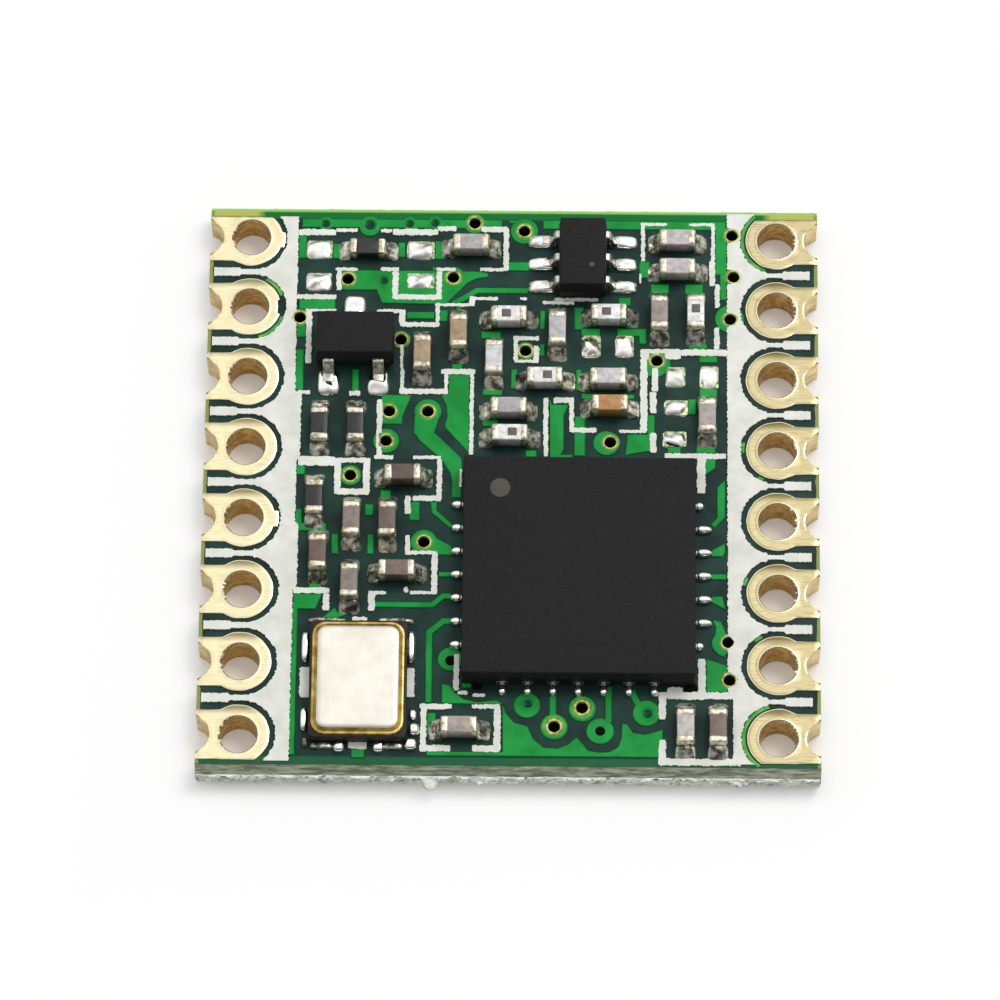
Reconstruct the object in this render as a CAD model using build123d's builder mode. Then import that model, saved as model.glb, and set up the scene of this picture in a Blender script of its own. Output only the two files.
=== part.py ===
"""A 16 mm square radio module: a castellated board with a radio chip, a crystal and chip parts.

The origin is the centre of the underside, which lies on the host board. +X is right, +Y is the back
edge, +Z is up. Sizes are in millimetres.
"""

import os
from math import cos, radians, sin, sqrt

from build123d import *

# Edge terminals: pad, plated hole and half-hole at the board's edge
terminals_per_side = 8
terminal_pitch = 2.0
foil_thickness = 0.04  # copper and gold, on both faces
plating_thickness = 0.03  # the wall of copper in each hole
hole_radius = 0.5  # inside the plating
notch_radius = 0.5  # inside the plating
notch_outset = 0.14  # board edge out to the centre of the half-hole
hole_to_notch = 0.22  # the strip of pad between the hole and the half-hole
pad_ring = 0.32  # the pad round the hole
tongue_side = 0.2  # the pad each side of the half-hole
corner_trim = 0.4  # bare laminate left beyond the corner terminals' pads

# Board
board_width = 16.0  # left edge to right edge, where the terminals are
row_margin = 1.0  # the first and last terminal's centre to the back and front edges
board_thickness = 0.92  # laminate with its mask, without the terminals' pads
score_depth = 0.22  # each score's slope, measured across the edge
score_height = 0.32  # each score's slope, measured up the edge

# Copper under the mask, and the white print
trace_height = 0.03
print_height = 0.05
print_gap = 0.14  # mask left between a pad and the print round it
tongue_gap = 0.2  # mask left between a pad's tongue and the print beside it
print_edge = 0.12  # mask left between the print and the board's side edges
print_end = 0.3  # mask left between the print and the front and back edges
band_margin = 0.34  # white left inside the widest part of a pad's clearance

# Drilled vias
via_radius = 0.19

# Faces of the small rounds
pad_sides = 12
plating_sides = 12
small_round_sides = 10
via_sides = 6

# Solder
solder_seat = 0.05  # land and solder under every part
solder_reach = 0.28  # how far a joint spreads out past the end of its part
solder_climb = 0.6  # how far a joint climbs its part's end, as a share of its height
bare_land_height = 0.1

# Chip parts
chip_length = 1.0
chip_width = 0.5
end_length = 0.22  # each metal end
end_proud = 0.015  # how far the metal ends stand out past the body
resistor_height = 0.35
inductor_height = 0.5
capacitor_height = 0.5

# Radio chip
radio_size = 6.0
radio_height = 0.82
radio_at = (1.78, -2.57)
radio_lead_pitch = 0.65
radio_leads_per_side = 7
radio_lead_width = 0.3
radio_lead_length = 0.4
radio_lead_thickness = 0.2
radio_pad_inset = 0.5  # leads' inner ends to the centre pad
radio_joint_reach = 0.14
pin_mark_radius = 0.26
pin_mark_depth = 0.02
pin_mark_inset = 0.95  # from the chip's left and back sides to the mark's centre

# Crystal
crystal_width = 2.5
crystal_length = 3.2
crystal_at = (-3.86, -5.6)
crystal_base_height = 0.4
crystal_corner = 0.18  # the cut at each corner of the base
crystal_land = (1.1, 1.3)
crystal_land_reach = 0.1  # how far each land stands out past the base
seam_margin = 0.06  # base edge to the seam ring
seam_height = 0.06
seam_width = 0.16
seam_corner = 0.34
lid_height = 0.1
lid_slope = 0.07

# Small moulded packages with bent leads
mould_long = 2.0
mould_short = 1.25
mould_height = 0.86
mould_lift = 0.04  # underside of the moulding above the solder
mould_draft = 8.0  # degrees
lead_pitch = 0.65
transistor_lead_width = 0.3
switch_lead_width = 0.24
lead_thickness = 0.12
lead_reach = 0.445  # moulding's side to a lead's tip
lead_foot = 0.3
lead_sunk = 0.12  # length of each lead held inside the moulding
transistor_at = (-4.15, 3.9)
switch_at = (1.82, 6.27)

# What follows from those sizes
pad_radius = hole_radius + pad_ring
hole_inset = notch_radius - notch_outset + hole_to_notch + hole_radius
tongue_width = 2 * sqrt(notch_radius**2 - notch_outset**2) + 2 * tongue_side
band_width = hole_inset + pad_radius + print_gap + band_margin
board_length = terminal_pitch * (terminals_per_side - 1) + 2 * row_margin
board_bottom = foil_thickness
board_top = board_bottom + board_thickness
pad_top = board_top + foil_thickness
part_seat = board_top + solder_seat
lead_span = mould_short + 2 * lead_reach
radio_pad_size = radio_size - 2 * (radio_lead_length + radio_pad_inset)
plating_turn = 180 / plating_sides  # degrees, so that a flat of the plating faces each side of the board

# Chip parts: centre on the board, and the turn of the long axis from X in degrees
resistors = [(-3.84, 6.62, 0), (-5.0, 1.55, 90), (-4.07, 1.55, 90), (-5.1, -0.5, 90)]
inductors = [(4.79, 4.75, 90), (-0.1, 4.65, 0), (2.52, 4.72, 0), (0.85, 2.9, 0), (-0.05, 1.27, 0)]
capacitors = [
    (-1.11, 6.71, 0), (4.31, 6.88, 0), (4.31, 6.05, 0), (3.84, 4.73, 90), (1.17, 4.27, 90),
    (-1.42, 4.16, 90), (-2.36, 3.55, 90), (-0.48, 3.43, 90), (2.51, 2.89, 0), (2.55, 2.13, 0),
    (-0.08, 2.04, 0), (5.09, 1.8, 90), (-2.81, 0.13, 0), (-4.12, -1.16, 90), (-3.19, -1.17, 90),
    (-4.97, -2.1, 90), (-2.92, -2.55, 0), (-4.14, -2.9, 90), (-1.26, -6.85, 0), (4.53, -6.83, 90),
    (5.36, -6.83, 90),
]

# Tinned lands with no part on them: centre, size along X, size along Y
bare_lands = [
    (-5.12, 6.67, 0.72, 0.53), (-2.45, 6.65, 0.72, 0.53), (-5.11, 5.75, 0.72, 0.53),
    (-2.45, 5.75, 0.72, 0.53), (2.06, 3.93, 0.52, 0.63), (2.93, 3.92, 0.52, 0.63),
    (4.3, 3.06, 0.5, 0.55), (5.1, 3.1, 0.5, 0.6), (4.3, 2.2, 0.66, 0.45), (4.26, 1.31, 0.6, 0.45),
]

# Vias that are left open
vias = [
    (-1.03, 7.46), (0.28, 7.24), (-4.35, 5.82), (-1.58, 5.88), (-5.59, 4.7), (-2.93, 4.08),
    (0.34, 3.79), (-3.2, 2.04), (-2.19, 2.04), (-3.27, 1.2), (2.57, 1.2), (-4.18, 0.22),
    (-2.24, -1.64), (3.78, 3.53), (5.75, 7.15), (5.79, 5.95), (5.7, 4.73), (5.66, -5.41),
    (5.63, -4.37), (1.17, -6.72), (1.88, -6.2),
]

# White outlines between the parts: a line's width and its corners
print_paths = [
    (0.13, [(-5.62, 7.24), (-4.18, 7.24)]),
    (0.13, [(-3.45, 7.24), (-1.55, 7.24)]),
    (0.14, [(-0.55, 7.28), (-0.2, 7.28), (-0.2, 6.12), (-0.8, 6.12)]),
    (0.14, [(-3.1, 5.9), (-3.1, 5.31), (-1.95, 5.31), (-1.95, 5.9)]),
    (0.13, [(-5.62, 5.29), (-4.6, 5.29), (-4.6, 6.1), (-4.16, 6.1)]),
    (0.12, [(-4.72, 4.9), (-5.36, 4.9), (-5.36, 3.5)]),
    (0.14, [(-3.5, 4.87), (-2.88, 4.87), (-2.88, 4.52), (-1.99, 4.52), (-1.99, 5.07), (-1.06, 5.07)]),
    (0.14, [(0.62, 4.12), (0.09, 4.12), (0.09, 3.8)]),
    (0.14, [(0.12, 3.54), (0.64, 3.54), (0.64, 3.88)]),
    (0.12, [(3.95, 7.43), (3.42, 7.43), (3.42, 6.45)]),
    (0.12, [(4.7, 7.43), (5.26, 7.43), (5.26, 5.14)]),
    (0.14, [(5.55, 3.76), (3.43, 3.76), (3.43, 1.51), (2.87, 1.51)]),
    (0.14, [(3.71, 3.18), (3.71, 1.03)]),
    (0.1, [(0.9, 2.4), (0.9, 0.94)]),
    (0.12, [(1.13, 2.37), (1.57, 2.37), (1.57, 1.52), (2.14, 1.52)]),
    (0.17, [(5.58, 0.84), (4.92, 0.84), (4.92, -0.08)]),
    (0.17, [(-5.44, 0.62), (-3.75, 0.62), (-3.75, -0.24), (-4.53, -0.24), (-4.53, 0.62)]),
    (0.12, [(-3.48, 2.3), (-3.48, 0.73), (-3.14, 0.73)]),
    (0.12, [(-2.9, 3.26), (-2.9, 2.6), (-1.74, 2.6), (-1.74, 3.18), (-1.04, 3.18), (-1.04, 0.86)]),
    (0.12, [(-2.5, 0.73), (-1.88, 0.73), (-1.88, -0.43), (-2.5, -0.43)]),
    (0.14, [(-2.67, -1.5), (-2.67, -1.94), (-1.95, -1.94), (-1.95, -3.06), (-2.57, -3.06)]),
    (0.15, [(-5.5, -3.02), (-4.73, -3.02), (-4.73, -3.5)]),
    (0.16, [(-1.56, -6.2), (-2.2, -6.2), (-2.2, -7.34), (-1.56, -7.34)]),
    (0.16, [(-0.86, -6.2), (-0.28, -6.2), (-0.28, -7.34), (-0.86, -7.34)]),
    (0.16, [(4.92, -4.96), (4.92, -5.82), (3.96, -5.82), (3.96, -6.42)]),
    (0.16, [(3.93, -7.12), (3.93, -7.6), (5.7, -7.6)]),
]

# Traces that run at one width: the width, then the corners
trace_paths = [
    (0.2, [(-2.07, -6.05), (-2.07, -4.22), (-1.64, -3.84)]),
    (0.17, [(-3.45, -3.39), (-1.98, -3.39), (-1.64, -3.11)]),
    (0.2, [(5.44, 0.1), (5.44, -0.95), (5.28, -1.15)]),
    (0.16, [(-1.15, 5.52), (0.36, 5.52)]),
]

# Round lands of the vias: centre and radius
trace_rounds = [
    (0.28, 7.2, 0.4), (-3.2, 2.02, 0.38), (2.46, 1.18, 0.36), (-2.24, -1.64, 0.38), (0.49, -6.1, 0.34),
    (1.88, -6.22, 0.36), (3.54, -6.32, 0.34),
]

# Poured areas: their corners in order
trace_pours = [
    [(-5.62, 7.38), (-5.62, 7.58), (5.58, 7.58), (5.58, 5.3), (5.42, 5.3), (5.34, 7.52), (3.3, 7.52),
     (3.3, 7.34), (2.46, 7.34), (2.46, 7.52), (0.72, 7.52), (0.6, 7.4)],
    [(-4.5, 5.5), (-4.5, 6.02), (-3.2, 6.02), (-3.2, 5.22), (-1.84, 5.22), (-1.84, 6.02), (-0.7, 6.02),
     (-0.7, 5.9), (-1.05, 5.84), (-1.7, 5.15), (-3.42, 5.12), (-3.6, 5.5)],
    [(-1.68, 3.1), (-1.14, 3.1), (-1.14, 0.95), (-1.74, 1.6), (-1.7, 2.1), (-1.88, 2.52), (-1.68, 2.54)],
    [(-2.6, 2.0), (-2.56, 1.4), (-1.55, 0.28), (-1.55, -0.3), (-1.34, -0.3), (-1.28, 0.72),
     (-2.0, 1.45), (-1.82, 2.0), (-2.2, 2.42)],
    [(0.98, 0.84), (0.98, 2.3), (1.48, 2.3), (1.38, 1.9), (1.38, 0.84)],
    [(2.98, 0.86), (2.98, 1.42), (3.56, 1.42), (3.56, 0.9)],
    [(-5.6, -7.5), (-5.6, -3.12), (-4.86, -3.12), (-5.05, -3.54), (-5.45, -3.54), (-5.45, -7.5)],
    [(-1.72, -6.1), (-1.72, -5.56), (-1.44, -5.56), (-1.3, -5.8), (-0.85, -6.06), (-0.2, -6.06),
     (-0.02, -6.46), (0.62, -6.72), (0.74, -7.08), (1.15, -7.28), (1.8, -6.98), (2.0, -7.3),
     (2.72, -7.26), (2.9, -6.6), (3.2, -6.82), (3.85, -6.78), (3.85, -7.5), (-2.1, -7.5), (-2.1, -7.43),
     (-0.2, -7.43)],
    [(5.05, -4.85), (5.55, -5.0), (5.55, -5.7), (5.05, -5.7)],
]


def rows():
    """Y of each terminal, from the back edge to the front."""
    first = terminal_pitch * (terminals_per_side - 1) / 2
    return [first - terminal_pitch * index for index in range(terminals_per_side)]


def hole_x(side_sign):
    """X of the plated holes on one side of the board."""
    return side_sign * (board_width / 2 - hole_inset)


def notch_x(side_sign):
    """X of the half-holes' centres on one side of the board."""
    return side_sign * (board_width / 2 + notch_outset)


def tongue_x(side_sign):
    """X of the middle of the pads' tongues, which run from the holes out to the edge."""
    return side_sign * (board_width - hole_inset) / 2


def plating_outline(radius):
    """Adds to the sketch in hand the outer outline of the plating in a hole of this inner radius."""
    RegularPolygon(radius + plating_thickness, plating_sides, major_radius=False, rotation=plating_turn)


def make_terminal(side_sign, row_y):
    """One plated terminal: a pad on each face, the wall of its hole and the wall of its half-hole."""
    holes = [(hole_x(side_sign), row_y), (notch_x(side_sign), row_y)]
    with BuildPart() as terminal:
        for level in (0, board_top):
            with BuildSketch(Plane.XY.offset(level)):
                with Locations(holes[0]):
                    RegularPolygon(pad_radius, pad_sides)
                with Locations((tongue_x(side_sign), row_y)):
                    Rectangle(hole_inset, tongue_width)
                Rectangle(board_width, board_length - 2 * corner_trim, mode=Mode.INTERSECT)
            extrude(amount=foil_thickness)
        with BuildSketch(Plane.XY.offset(board_bottom)):
            with Locations(holes[0]):
                plating_outline(hole_radius)
            with Locations(holes[1]):
                plating_outline(notch_radius)
            Rectangle(board_width, board_length, mode=Mode.INTERSECT)
        extrude(amount=board_thickness)
        with BuildSketch():
            with Locations(holes[0]):
                Circle(hole_radius)
            with Locations(holes[1]):
                RegularPolygon(notch_radius, pad_sides)
        extrude(amount=pad_top, mode=Mode.SUBTRACT)
    return terminal.part


def add_chip_part(height):
    """Adds a chip part at the locations in force: its body and its two metal ends."""
    Box(chip_length - 2 * end_proud, chip_width - 2 * end_proud, height - 2 * end_proud,
        align=(Align.CENTER, Align.CENTER, Align.MIN))
    with GridLocations(chip_length - end_length, 0, 2, 1):
        Box(end_length, chip_width, height, align=(Align.CENTER, Align.CENTER, Align.MIN))


def solder_joint(face_x, face_y, turn, inside, outside, width, climb):
    """A joint at a part's end face. It lies under the part, and slopes up from outside to the face.

    turn is the way out of the part, in degrees from +X.
    """
    out = (cos(radians(turn)), sin(radians(turn)), 0)
    across = (sin(radians(turn)), -cos(radians(turn)), 0)
    section = [(-inside, 0), (outside, 0), (0, climb), (0, solder_seat), (-inside, solder_seat)]
    with BuildPart() as joint:
        with BuildSketch(Plane(origin=(face_x, face_y, board_top), x_dir=out, z_dir=across)):
            with BuildLine():
                Polyline(*section, close=True)
            make_face()
        extrude(amount=width / 2, both=True)
    return joint.part


def chip_part_joints(at_x, at_y, turn, height):
    """The two joints of a chip part."""
    found = []
    for way in (turn, turn + 180):
        face_x = at_x + chip_length / 2 * cos(radians(way))
        face_y = at_y + chip_length / 2 * sin(radians(way))
        found.append(solder_joint(face_x, face_y, way, end_length, solder_reach, chip_width,
                                  solder_seat + solder_climb * height))
    return found


def radio_leads_places():
    """Each perimeter lead of the radio chip: the way out of its side, in degrees, and its offset along it."""
    first = radio_lead_pitch * (radio_leads_per_side - 1) / 2
    return [(way, first - radio_lead_pitch * index)
            for way in (0, 90, 180, 270) for index in range(radio_leads_per_side)]


def bent_lead(body_at, turn, along, width):
    """A bent lead: out of the moulding, down, and out along its land.

    turn is the way out and along is the lead's offset across that way.
    """
    out = (cos(radians(turn)), sin(radians(turn)), 0)
    across = (sin(radians(turn)), -cos(radians(turn)), 0)
    origin = (body_at[0] - across[0] * along, body_at[1] - across[1] * along, part_seat)
    root = mould_short / 2 - lead_sunk
    knee = mould_lift + mould_height / 2 - lead_thickness / 2
    tip = lead_span / 2
    heel = tip - lead_foot
    bend = lead_thickness / 2
    with BuildPart() as lead:
        with BuildSketch(Plane(origin=origin, x_dir=out, z_dir=across)):
            with BuildLine():
                Polyline((root, knee), (heel - lead_thickness, knee), (heel, 0), (tip, 0),
                         (tip, lead_thickness), (heel + bend, lead_thickness),
                         (heel - bend, knee + lead_thickness), (root, knee + lead_thickness), close=True)
            make_face()
        extrude(amount=width / 2, both=True)
    return lead.part


def make_leads(body_at, pins, width):
    """The leads of a small moulded package. Each pin is its way out and its offset."""
    with BuildPart() as leads:
        add([bent_lead(body_at, turn, along, width) for turn, along in pins])
    return leads.part


def make_moulding(body_at, size_x, size_y, leads):
    """A moulded package body, drafted up and down from its parting line, cut where the leads enter it."""
    with BuildPart() as moulding:
        for direction in (1, -1):
            with BuildSketch(Plane.XY.offset(part_seat + mould_lift + mould_height / 2)):
                with Locations(body_at):
                    Rectangle(size_x, size_y)
            extrude(amount=direction * mould_height / 2, taper=mould_draft)
        add(leads, mode=Mode.SUBTRACT)
    return moulding.part


def foot_joints(body_at, pins, width):
    """The joints under the feet of a small moulded package's leads."""
    found = []
    for turn, along in pins:
        out_x = cos(radians(turn))
        out_y = sin(radians(turn))
        found.append(solder_joint(body_at[0] + out_x * lead_span / 2 - out_y * along,
                                  body_at[1] + out_y * lead_span / 2 + out_x * along,
                                  turn, lead_foot, solder_reach, width, solder_seat + lead_thickness))
    return found


def clear_feet(body_at, pins, width):
    """Takes the room of a small package's feet out of the sketch in hand."""
    room = lead_span / 2 + solder_reach
    for turn, along in pins:
        with Locations(Location((*body_at, 0), (0, 0, turn))):
            with Locations((room / 2, along)):
                Rectangle(room, width, mode=Mode.SUBTRACT)


def clear_pads():
    """Takes the terminals' pads, with the mask left round them, out of the sketch in hand."""
    with Locations(hole_places):
        RegularPolygon(pad_radius + print_gap, small_round_sides, mode=Mode.SUBTRACT)
    with Locations(tongue_places):
        Rectangle(hole_inset, tongue_width + 2 * tongue_gap, mode=Mode.SUBTRACT)


def clear_lands():
    """Takes the vias and every soldered land out of the sketch in hand."""
    with Locations(vias):
        RegularPolygon(via_radius, via_sides, mode=Mode.SUBTRACT)
    with Locations([Location((at_x, at_y), turn) for at_x, at_y, turn in resistors + inductors + capacitors]):
        Rectangle(chip_length + 2 * solder_reach, chip_width, mode=Mode.SUBTRACT)
    with Locations(radio_at):
        Rectangle(radio_size + 2 * radio_joint_reach, radio_size + 2 * radio_joint_reach, mode=Mode.SUBTRACT)
    with Locations(crystal_at):
        Rectangle(crystal_width + 2 * crystal_land_reach, crystal_length + 2 * crystal_land_reach,
                  mode=Mode.SUBTRACT)
    for land_x, land_y, size_x, size_y in bare_lands:
        with Locations((land_x, land_y)):
            Rectangle(size_x, size_y, mode=Mode.SUBTRACT)
    clear_feet(transistor_at, transistor_pins, transistor_lead_width)
    clear_feet(switch_at, switch_pins, switch_lead_width)


def save(part, name):
    """Labels a finished piece and writes it."""
    part.label = name
    export_step(part, f"parts/{name}.step")


os.makedirs("parts", exist_ok=True)
both_sides = (-1, 1)
hole_places = [(hole_x(side_sign), row_y) for side_sign in both_sides for row_y in rows()]
notch_places = [(notch_x(side_sign), row_y) for side_sign in both_sides for row_y in rows()]
tongue_places = [(tongue_x(side_sign), row_y) for side_sign in both_sides for row_y in rows()]
standing = (Align.CENTER, Align.CENTER, Align.MIN)

# Terminals, down the left side and then down the right
for number, (side_sign, row_y) in enumerate([(s, y) for s in both_sides for y in rows()], start=1):
    save(make_terminal(side_sign, row_y), f"terminal_{number}")

# Board: scored along its front and back edges, drilled for the terminals and the vias
with BuildPart() as board:
    with BuildSketch(Plane.XY.offset(board_bottom)):
        Rectangle(board_width, board_length)
    extrude(amount=board_thickness)
    for face in board.faces().filter_by(Axis.Y):
        chamfer(face.edges().filter_by(Axis.X), length=score_height, length2=score_depth, reference=face)
    with BuildSketch(Plane.XY.offset(board_bottom)):
        with Locations(hole_places):
            plating_outline(hole_radius)
        with Locations(notch_places):
            plating_outline(notch_radius)
        with Locations(vias):
            RegularPolygon(via_radius, via_sides)
    extrude(amount=board_thickness, mode=Mode.SUBTRACT)
save(board.part, "board")

# Small moulded packages: one lead at the back and two in front, and three leads on each side
transistor_pins = [(90, 0), (270, -lead_pitch), (270, lead_pitch)]
switch_pins = [(way, step * lead_pitch) for way in (0, 180) for step in (-1, 0, 1)]
transistor_leads = make_leads(transistor_at, transistor_pins, transistor_lead_width)
save(transistor_leads, "transistor_leads")
save(make_moulding(transistor_at, mould_long, mould_short, transistor_leads), "transistor_body")
switch_leads = make_leads(switch_at, switch_pins, switch_lead_width)
save(switch_leads, "antenna_switch_leads")
save(make_moulding(switch_at, mould_short, mould_long, switch_leads), "antenna_switch_body")

# Radio chip: leads and centre pad flush with the underside of the moulding
with BuildPart() as radio_leads:
    for way, offset in radio_leads_places():
        with Locations(Location((*radio_at, part_seat), (0, 0, way))):
            with Locations(((radio_size - radio_lead_length) / 2, offset)):
                Box(radio_lead_length, radio_lead_width, radio_lead_thickness, align=standing)
    with Locations((*radio_at, part_seat)):
        Box(radio_pad_size, radio_pad_size, radio_lead_thickness, align=standing)
save(radio_leads.part, "radio_chip_leads")

with BuildPart() as radio_body:
    with Locations((*radio_at, part_seat)):
        Box(radio_size, radio_size, radio_height, align=standing)
    with BuildSketch(Plane.XY.offset(part_seat + radio_height)):
        with Locations((radio_at[0] - radio_size / 2 + pin_mark_inset,
                        radio_at[1] + radio_size / 2 - pin_mark_inset)):
            RegularPolygon(pin_mark_radius, small_round_sides)
    extrude(amount=-pin_mark_depth, mode=Mode.SUBTRACT)
    add(radio_leads.part, mode=Mode.SUBTRACT)
save(radio_body.part, "radio_chip_body")

# Crystal: ceramic base, seam ring, metal lid
with BuildPart() as crystal_base:
    with BuildSketch(Plane.XY.offset(part_seat)):
        with Locations(crystal_at):
            Rectangle(crystal_width, crystal_length)
            with GridLocations(crystal_width, crystal_length, 2, 2):
                RegularPolygon(crystal_corner, small_round_sides, mode=Mode.SUBTRACT)
    extrude(amount=crystal_base_height)
save(crystal_base.part, "crystal_base")

seam_seat = part_seat + crystal_base_height
ring_width = crystal_width - 2 * seam_margin
ring_length = crystal_length - 2 * seam_margin
with BuildPart() as seam_ring:
    with BuildSketch(Plane.XY.offset(seam_seat)):
        with Locations(crystal_at):
            RectangleRounded(ring_width, ring_length, seam_corner)
            RectangleRounded(ring_width - 2 * seam_width, ring_length - 2 * seam_width,
                             seam_corner - seam_width, mode=Mode.SUBTRACT)
    extrude(amount=seam_height)
save(seam_ring.part, "crystal_seam_ring")

with BuildPart() as crystal_lid:
    with BuildSketch(Plane.XY.offset(seam_seat + seam_height)):
        with Locations(crystal_at):
            RectangleRounded(ring_width - seam_width, ring_length - seam_width, seam_corner - seam_width / 2)
    extrude(amount=lid_height)
    chamfer(crystal_lid.edges().group_by(Axis.Z)[-1], length=lid_slope)
save(crystal_lid.part, "crystal_lid")

# Chip parts
chip_kinds = [("resistor", resistors, resistor_height), ("inductor", inductors, inductor_height),
              ("capacitor", capacitors, capacitor_height)]
for kind, places, height in chip_kinds:
    for number, (at_x, at_y, turn) in enumerate(places, start=1):
        with BuildPart() as chip:
            with Locations(Location((at_x, at_y, part_seat), (0, 0, turn))):
                add_chip_part(height)
        save(chip.part, f"{kind}_{number}")

# Solder: every joint, and the tinned lands with no part
joints = []
for _, places, height in chip_kinds:
    for at_x, at_y, turn in places:
        joints += chip_part_joints(at_x, at_y, turn, height)
joints += foot_joints(transistor_at, transistor_pins, transistor_lead_width)
joints += foot_joints(switch_at, switch_pins, switch_lead_width)
for way, offset in radio_leads_places():
    out_x = cos(radians(way))
    out_y = sin(radians(way))
    joints.append(solder_joint(radio_at[0] + out_x * radio_size / 2 - out_y * offset,
                               radio_at[1] + out_y * radio_size / 2 + out_x * offset,
                               way, radio_lead_length, radio_joint_reach, radio_lead_width,
                               solder_seat + radio_lead_thickness))
with BuildPart() as solder:
    add(joints)
    with Locations((*radio_at, board_top)):
        Box(radio_pad_size, radio_pad_size, solder_seat, align=standing)
    with Locations((*crystal_at, board_top)):
        with GridLocations(crystal_width + 2 * crystal_land_reach - crystal_land[0],
                           crystal_length + 2 * crystal_land_reach - crystal_land[1], 2, 2):
            Box(*crystal_land, solder_seat, align=standing)
    for land_x, land_y, size_x, size_y in bare_lands:
        with Locations((land_x, land_y, board_top)):
            Box(size_x, size_y, bare_land_height, align=standing)
save(solder.part, "solder")

# White print: a band down each side, cleared round the pads, and the outlines between the parts
with BuildSketch() as print_area:
    with GridLocations(board_width - band_width - print_edge, 0, 2, 1):
        Rectangle(band_width - print_edge, board_length - 2 * print_end)
    clear_pads()
    for width, corners in print_paths:
        for (from_x, from_y), (to_x, to_y) in zip(corners, corners[1:]):
            with Locations(((from_x + to_x) / 2, (from_y + to_y) / 2)):
                Rectangle(abs(to_x - from_x) + width, abs(to_y - from_y) + width)
    clear_lands()
with BuildPart() as white_print:
    with BuildSketch(Plane.XY.offset(board_top)):
        add(print_area.sketch)
    extrude(amount=print_height)
save(white_print.part, "white_print")

# Copper under the mask, where no print covers it
with BuildPart() as copper:
    with BuildSketch(Plane.XY.offset(board_top)):
        for corners in trace_pours:
            with BuildLine():
                Polyline(*corners, close=True)
            make_face()
        for width, corners in trace_paths:
            with BuildLine() as route:
                Polyline(*corners)
            trace(route.line, line_width=width)
        for round_x, round_y, radius in trace_rounds:
            with Locations((round_x, round_y)):
                RegularPolygon(radius, small_round_sides)
        clear_pads()
        clear_lands()
        add(print_area.sketch, mode=Mode.SUBTRACT)
    extrude(amount=trace_height)
save(copper.part, "copper_traces")
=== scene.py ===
import math

import bmesh
import bpy
import numpy as np
from mathutils import Matrix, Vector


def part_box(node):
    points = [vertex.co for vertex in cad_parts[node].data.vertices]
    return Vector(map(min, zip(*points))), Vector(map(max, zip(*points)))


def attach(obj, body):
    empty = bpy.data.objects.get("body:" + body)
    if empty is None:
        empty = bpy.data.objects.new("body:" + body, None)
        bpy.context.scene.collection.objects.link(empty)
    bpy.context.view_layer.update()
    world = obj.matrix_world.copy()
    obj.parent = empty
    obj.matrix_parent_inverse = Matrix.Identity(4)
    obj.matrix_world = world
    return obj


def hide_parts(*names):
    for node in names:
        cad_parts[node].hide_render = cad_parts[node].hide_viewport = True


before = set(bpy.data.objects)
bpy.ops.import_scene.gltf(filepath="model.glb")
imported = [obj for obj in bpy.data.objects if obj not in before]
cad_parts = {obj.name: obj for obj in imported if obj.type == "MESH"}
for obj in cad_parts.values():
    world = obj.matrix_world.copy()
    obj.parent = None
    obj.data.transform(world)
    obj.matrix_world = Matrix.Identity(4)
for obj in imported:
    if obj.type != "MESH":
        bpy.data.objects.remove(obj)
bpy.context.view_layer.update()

mm = 0.001  # Blender works in metres; every size below is in millimetres

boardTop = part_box("board")[1].z / mm
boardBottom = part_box("board")[0].z / mm
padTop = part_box("terminal_1")[1].z / mm
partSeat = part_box("radio_chip_body")[0].z / mm
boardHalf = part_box("board")[1].x / mm

edge = {  # the terminals and the board's edges
    "rows": 8, "pitch": 2.0, "holeRadius": 0.5, "plating": 0.03, "holeInset": 1.08,
    "notchRadius": 0.5, "notchOutset": 0.14, "padRadius": 0.82, "tongueHalf": 0.68, "cornerTrim": 0.4,
    "frontSpare": 0.09,  # how much further the frontmost pads reach
    # a tab or a nick on a pad's inner side, by terminal: from and to in degrees, and the radius there
    "odd": {1: [(170, 200, 0.91)], 2: [(166, 194, 0.75)], 5: [(166, 198, 0.92)]},
}
rowPlaces = [edge["pitch"] * ((edge["rows"] - 1) / 2 - index) for index in range(edge["rows"])]


def boxOf(nodeName):  # a CAD node's middle and size in mm
    low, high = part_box(nodeName)
    low, high = np.array(low) / mm, np.array(high) / mm
    return (low + high) / 2, high - low


# Node helpers

def srgb(red, green, blue):  # 0..255 as seen on screen, to the linear values that shaders take
    values = np.array((red, green, blue)) / 255
    linear = np.where(values <= 0.04045, values / 12.92, ((values + 0.055) / 1.055) ** 2.4)
    return (*[float(value) for value in linear], 1.0)


def fillInputs(tree, node, inputs):  # inputs are (socket name or number, value or socket)
    for socket, value in inputs:
        if isinstance(value, bpy.types.NodeSocket):
            tree.links.new(value, node.inputs[socket])
        else:
            node.inputs[socket].default_value = value


def addNode(tree, kind, inputs=(), **settings):
    made = tree.nodes.new(kind)
    for name, value in settings.items():
        setattr(made, name, value)
    fillInputs(tree, made, inputs)
    return made


def mathNode(tree, operation, first, second=0.0):
    return addNode(tree, "ShaderNodeMath", ((0, first), (1, second)), operation=operation).outputs[0]


def blendColours(tree, factor, first, second):
    made = addNode(tree, "ShaderNodeMix", ((0, factor), (6, first), (7, second)), data_type="RGBA")
    return made.outputs[2]


def spread(tree, value, low, high, start=0.0, end=1.0):  # maps low..high to start..end and holds the ends
    sockets = ((0, value), (1, low), (2, high), (3, start), (4, end))
    return addNode(tree, "ShaderNodeMapRange", sockets).outputs[0]


def objectPlace(tree, scale=(1.0, 1.0, 1.0)):
    place = addNode(tree, "ShaderNodeTexCoord").outputs["Object"]
    return addNode(tree, "ShaderNodeMapping", (("Vector", place), ("Scale", scale))).outputs[0]


def axesOf(tree, place):  # its x, y and z
    return addNode(tree, "ShaderNodeSeparateXYZ", ((0, place),)).outputs


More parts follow.
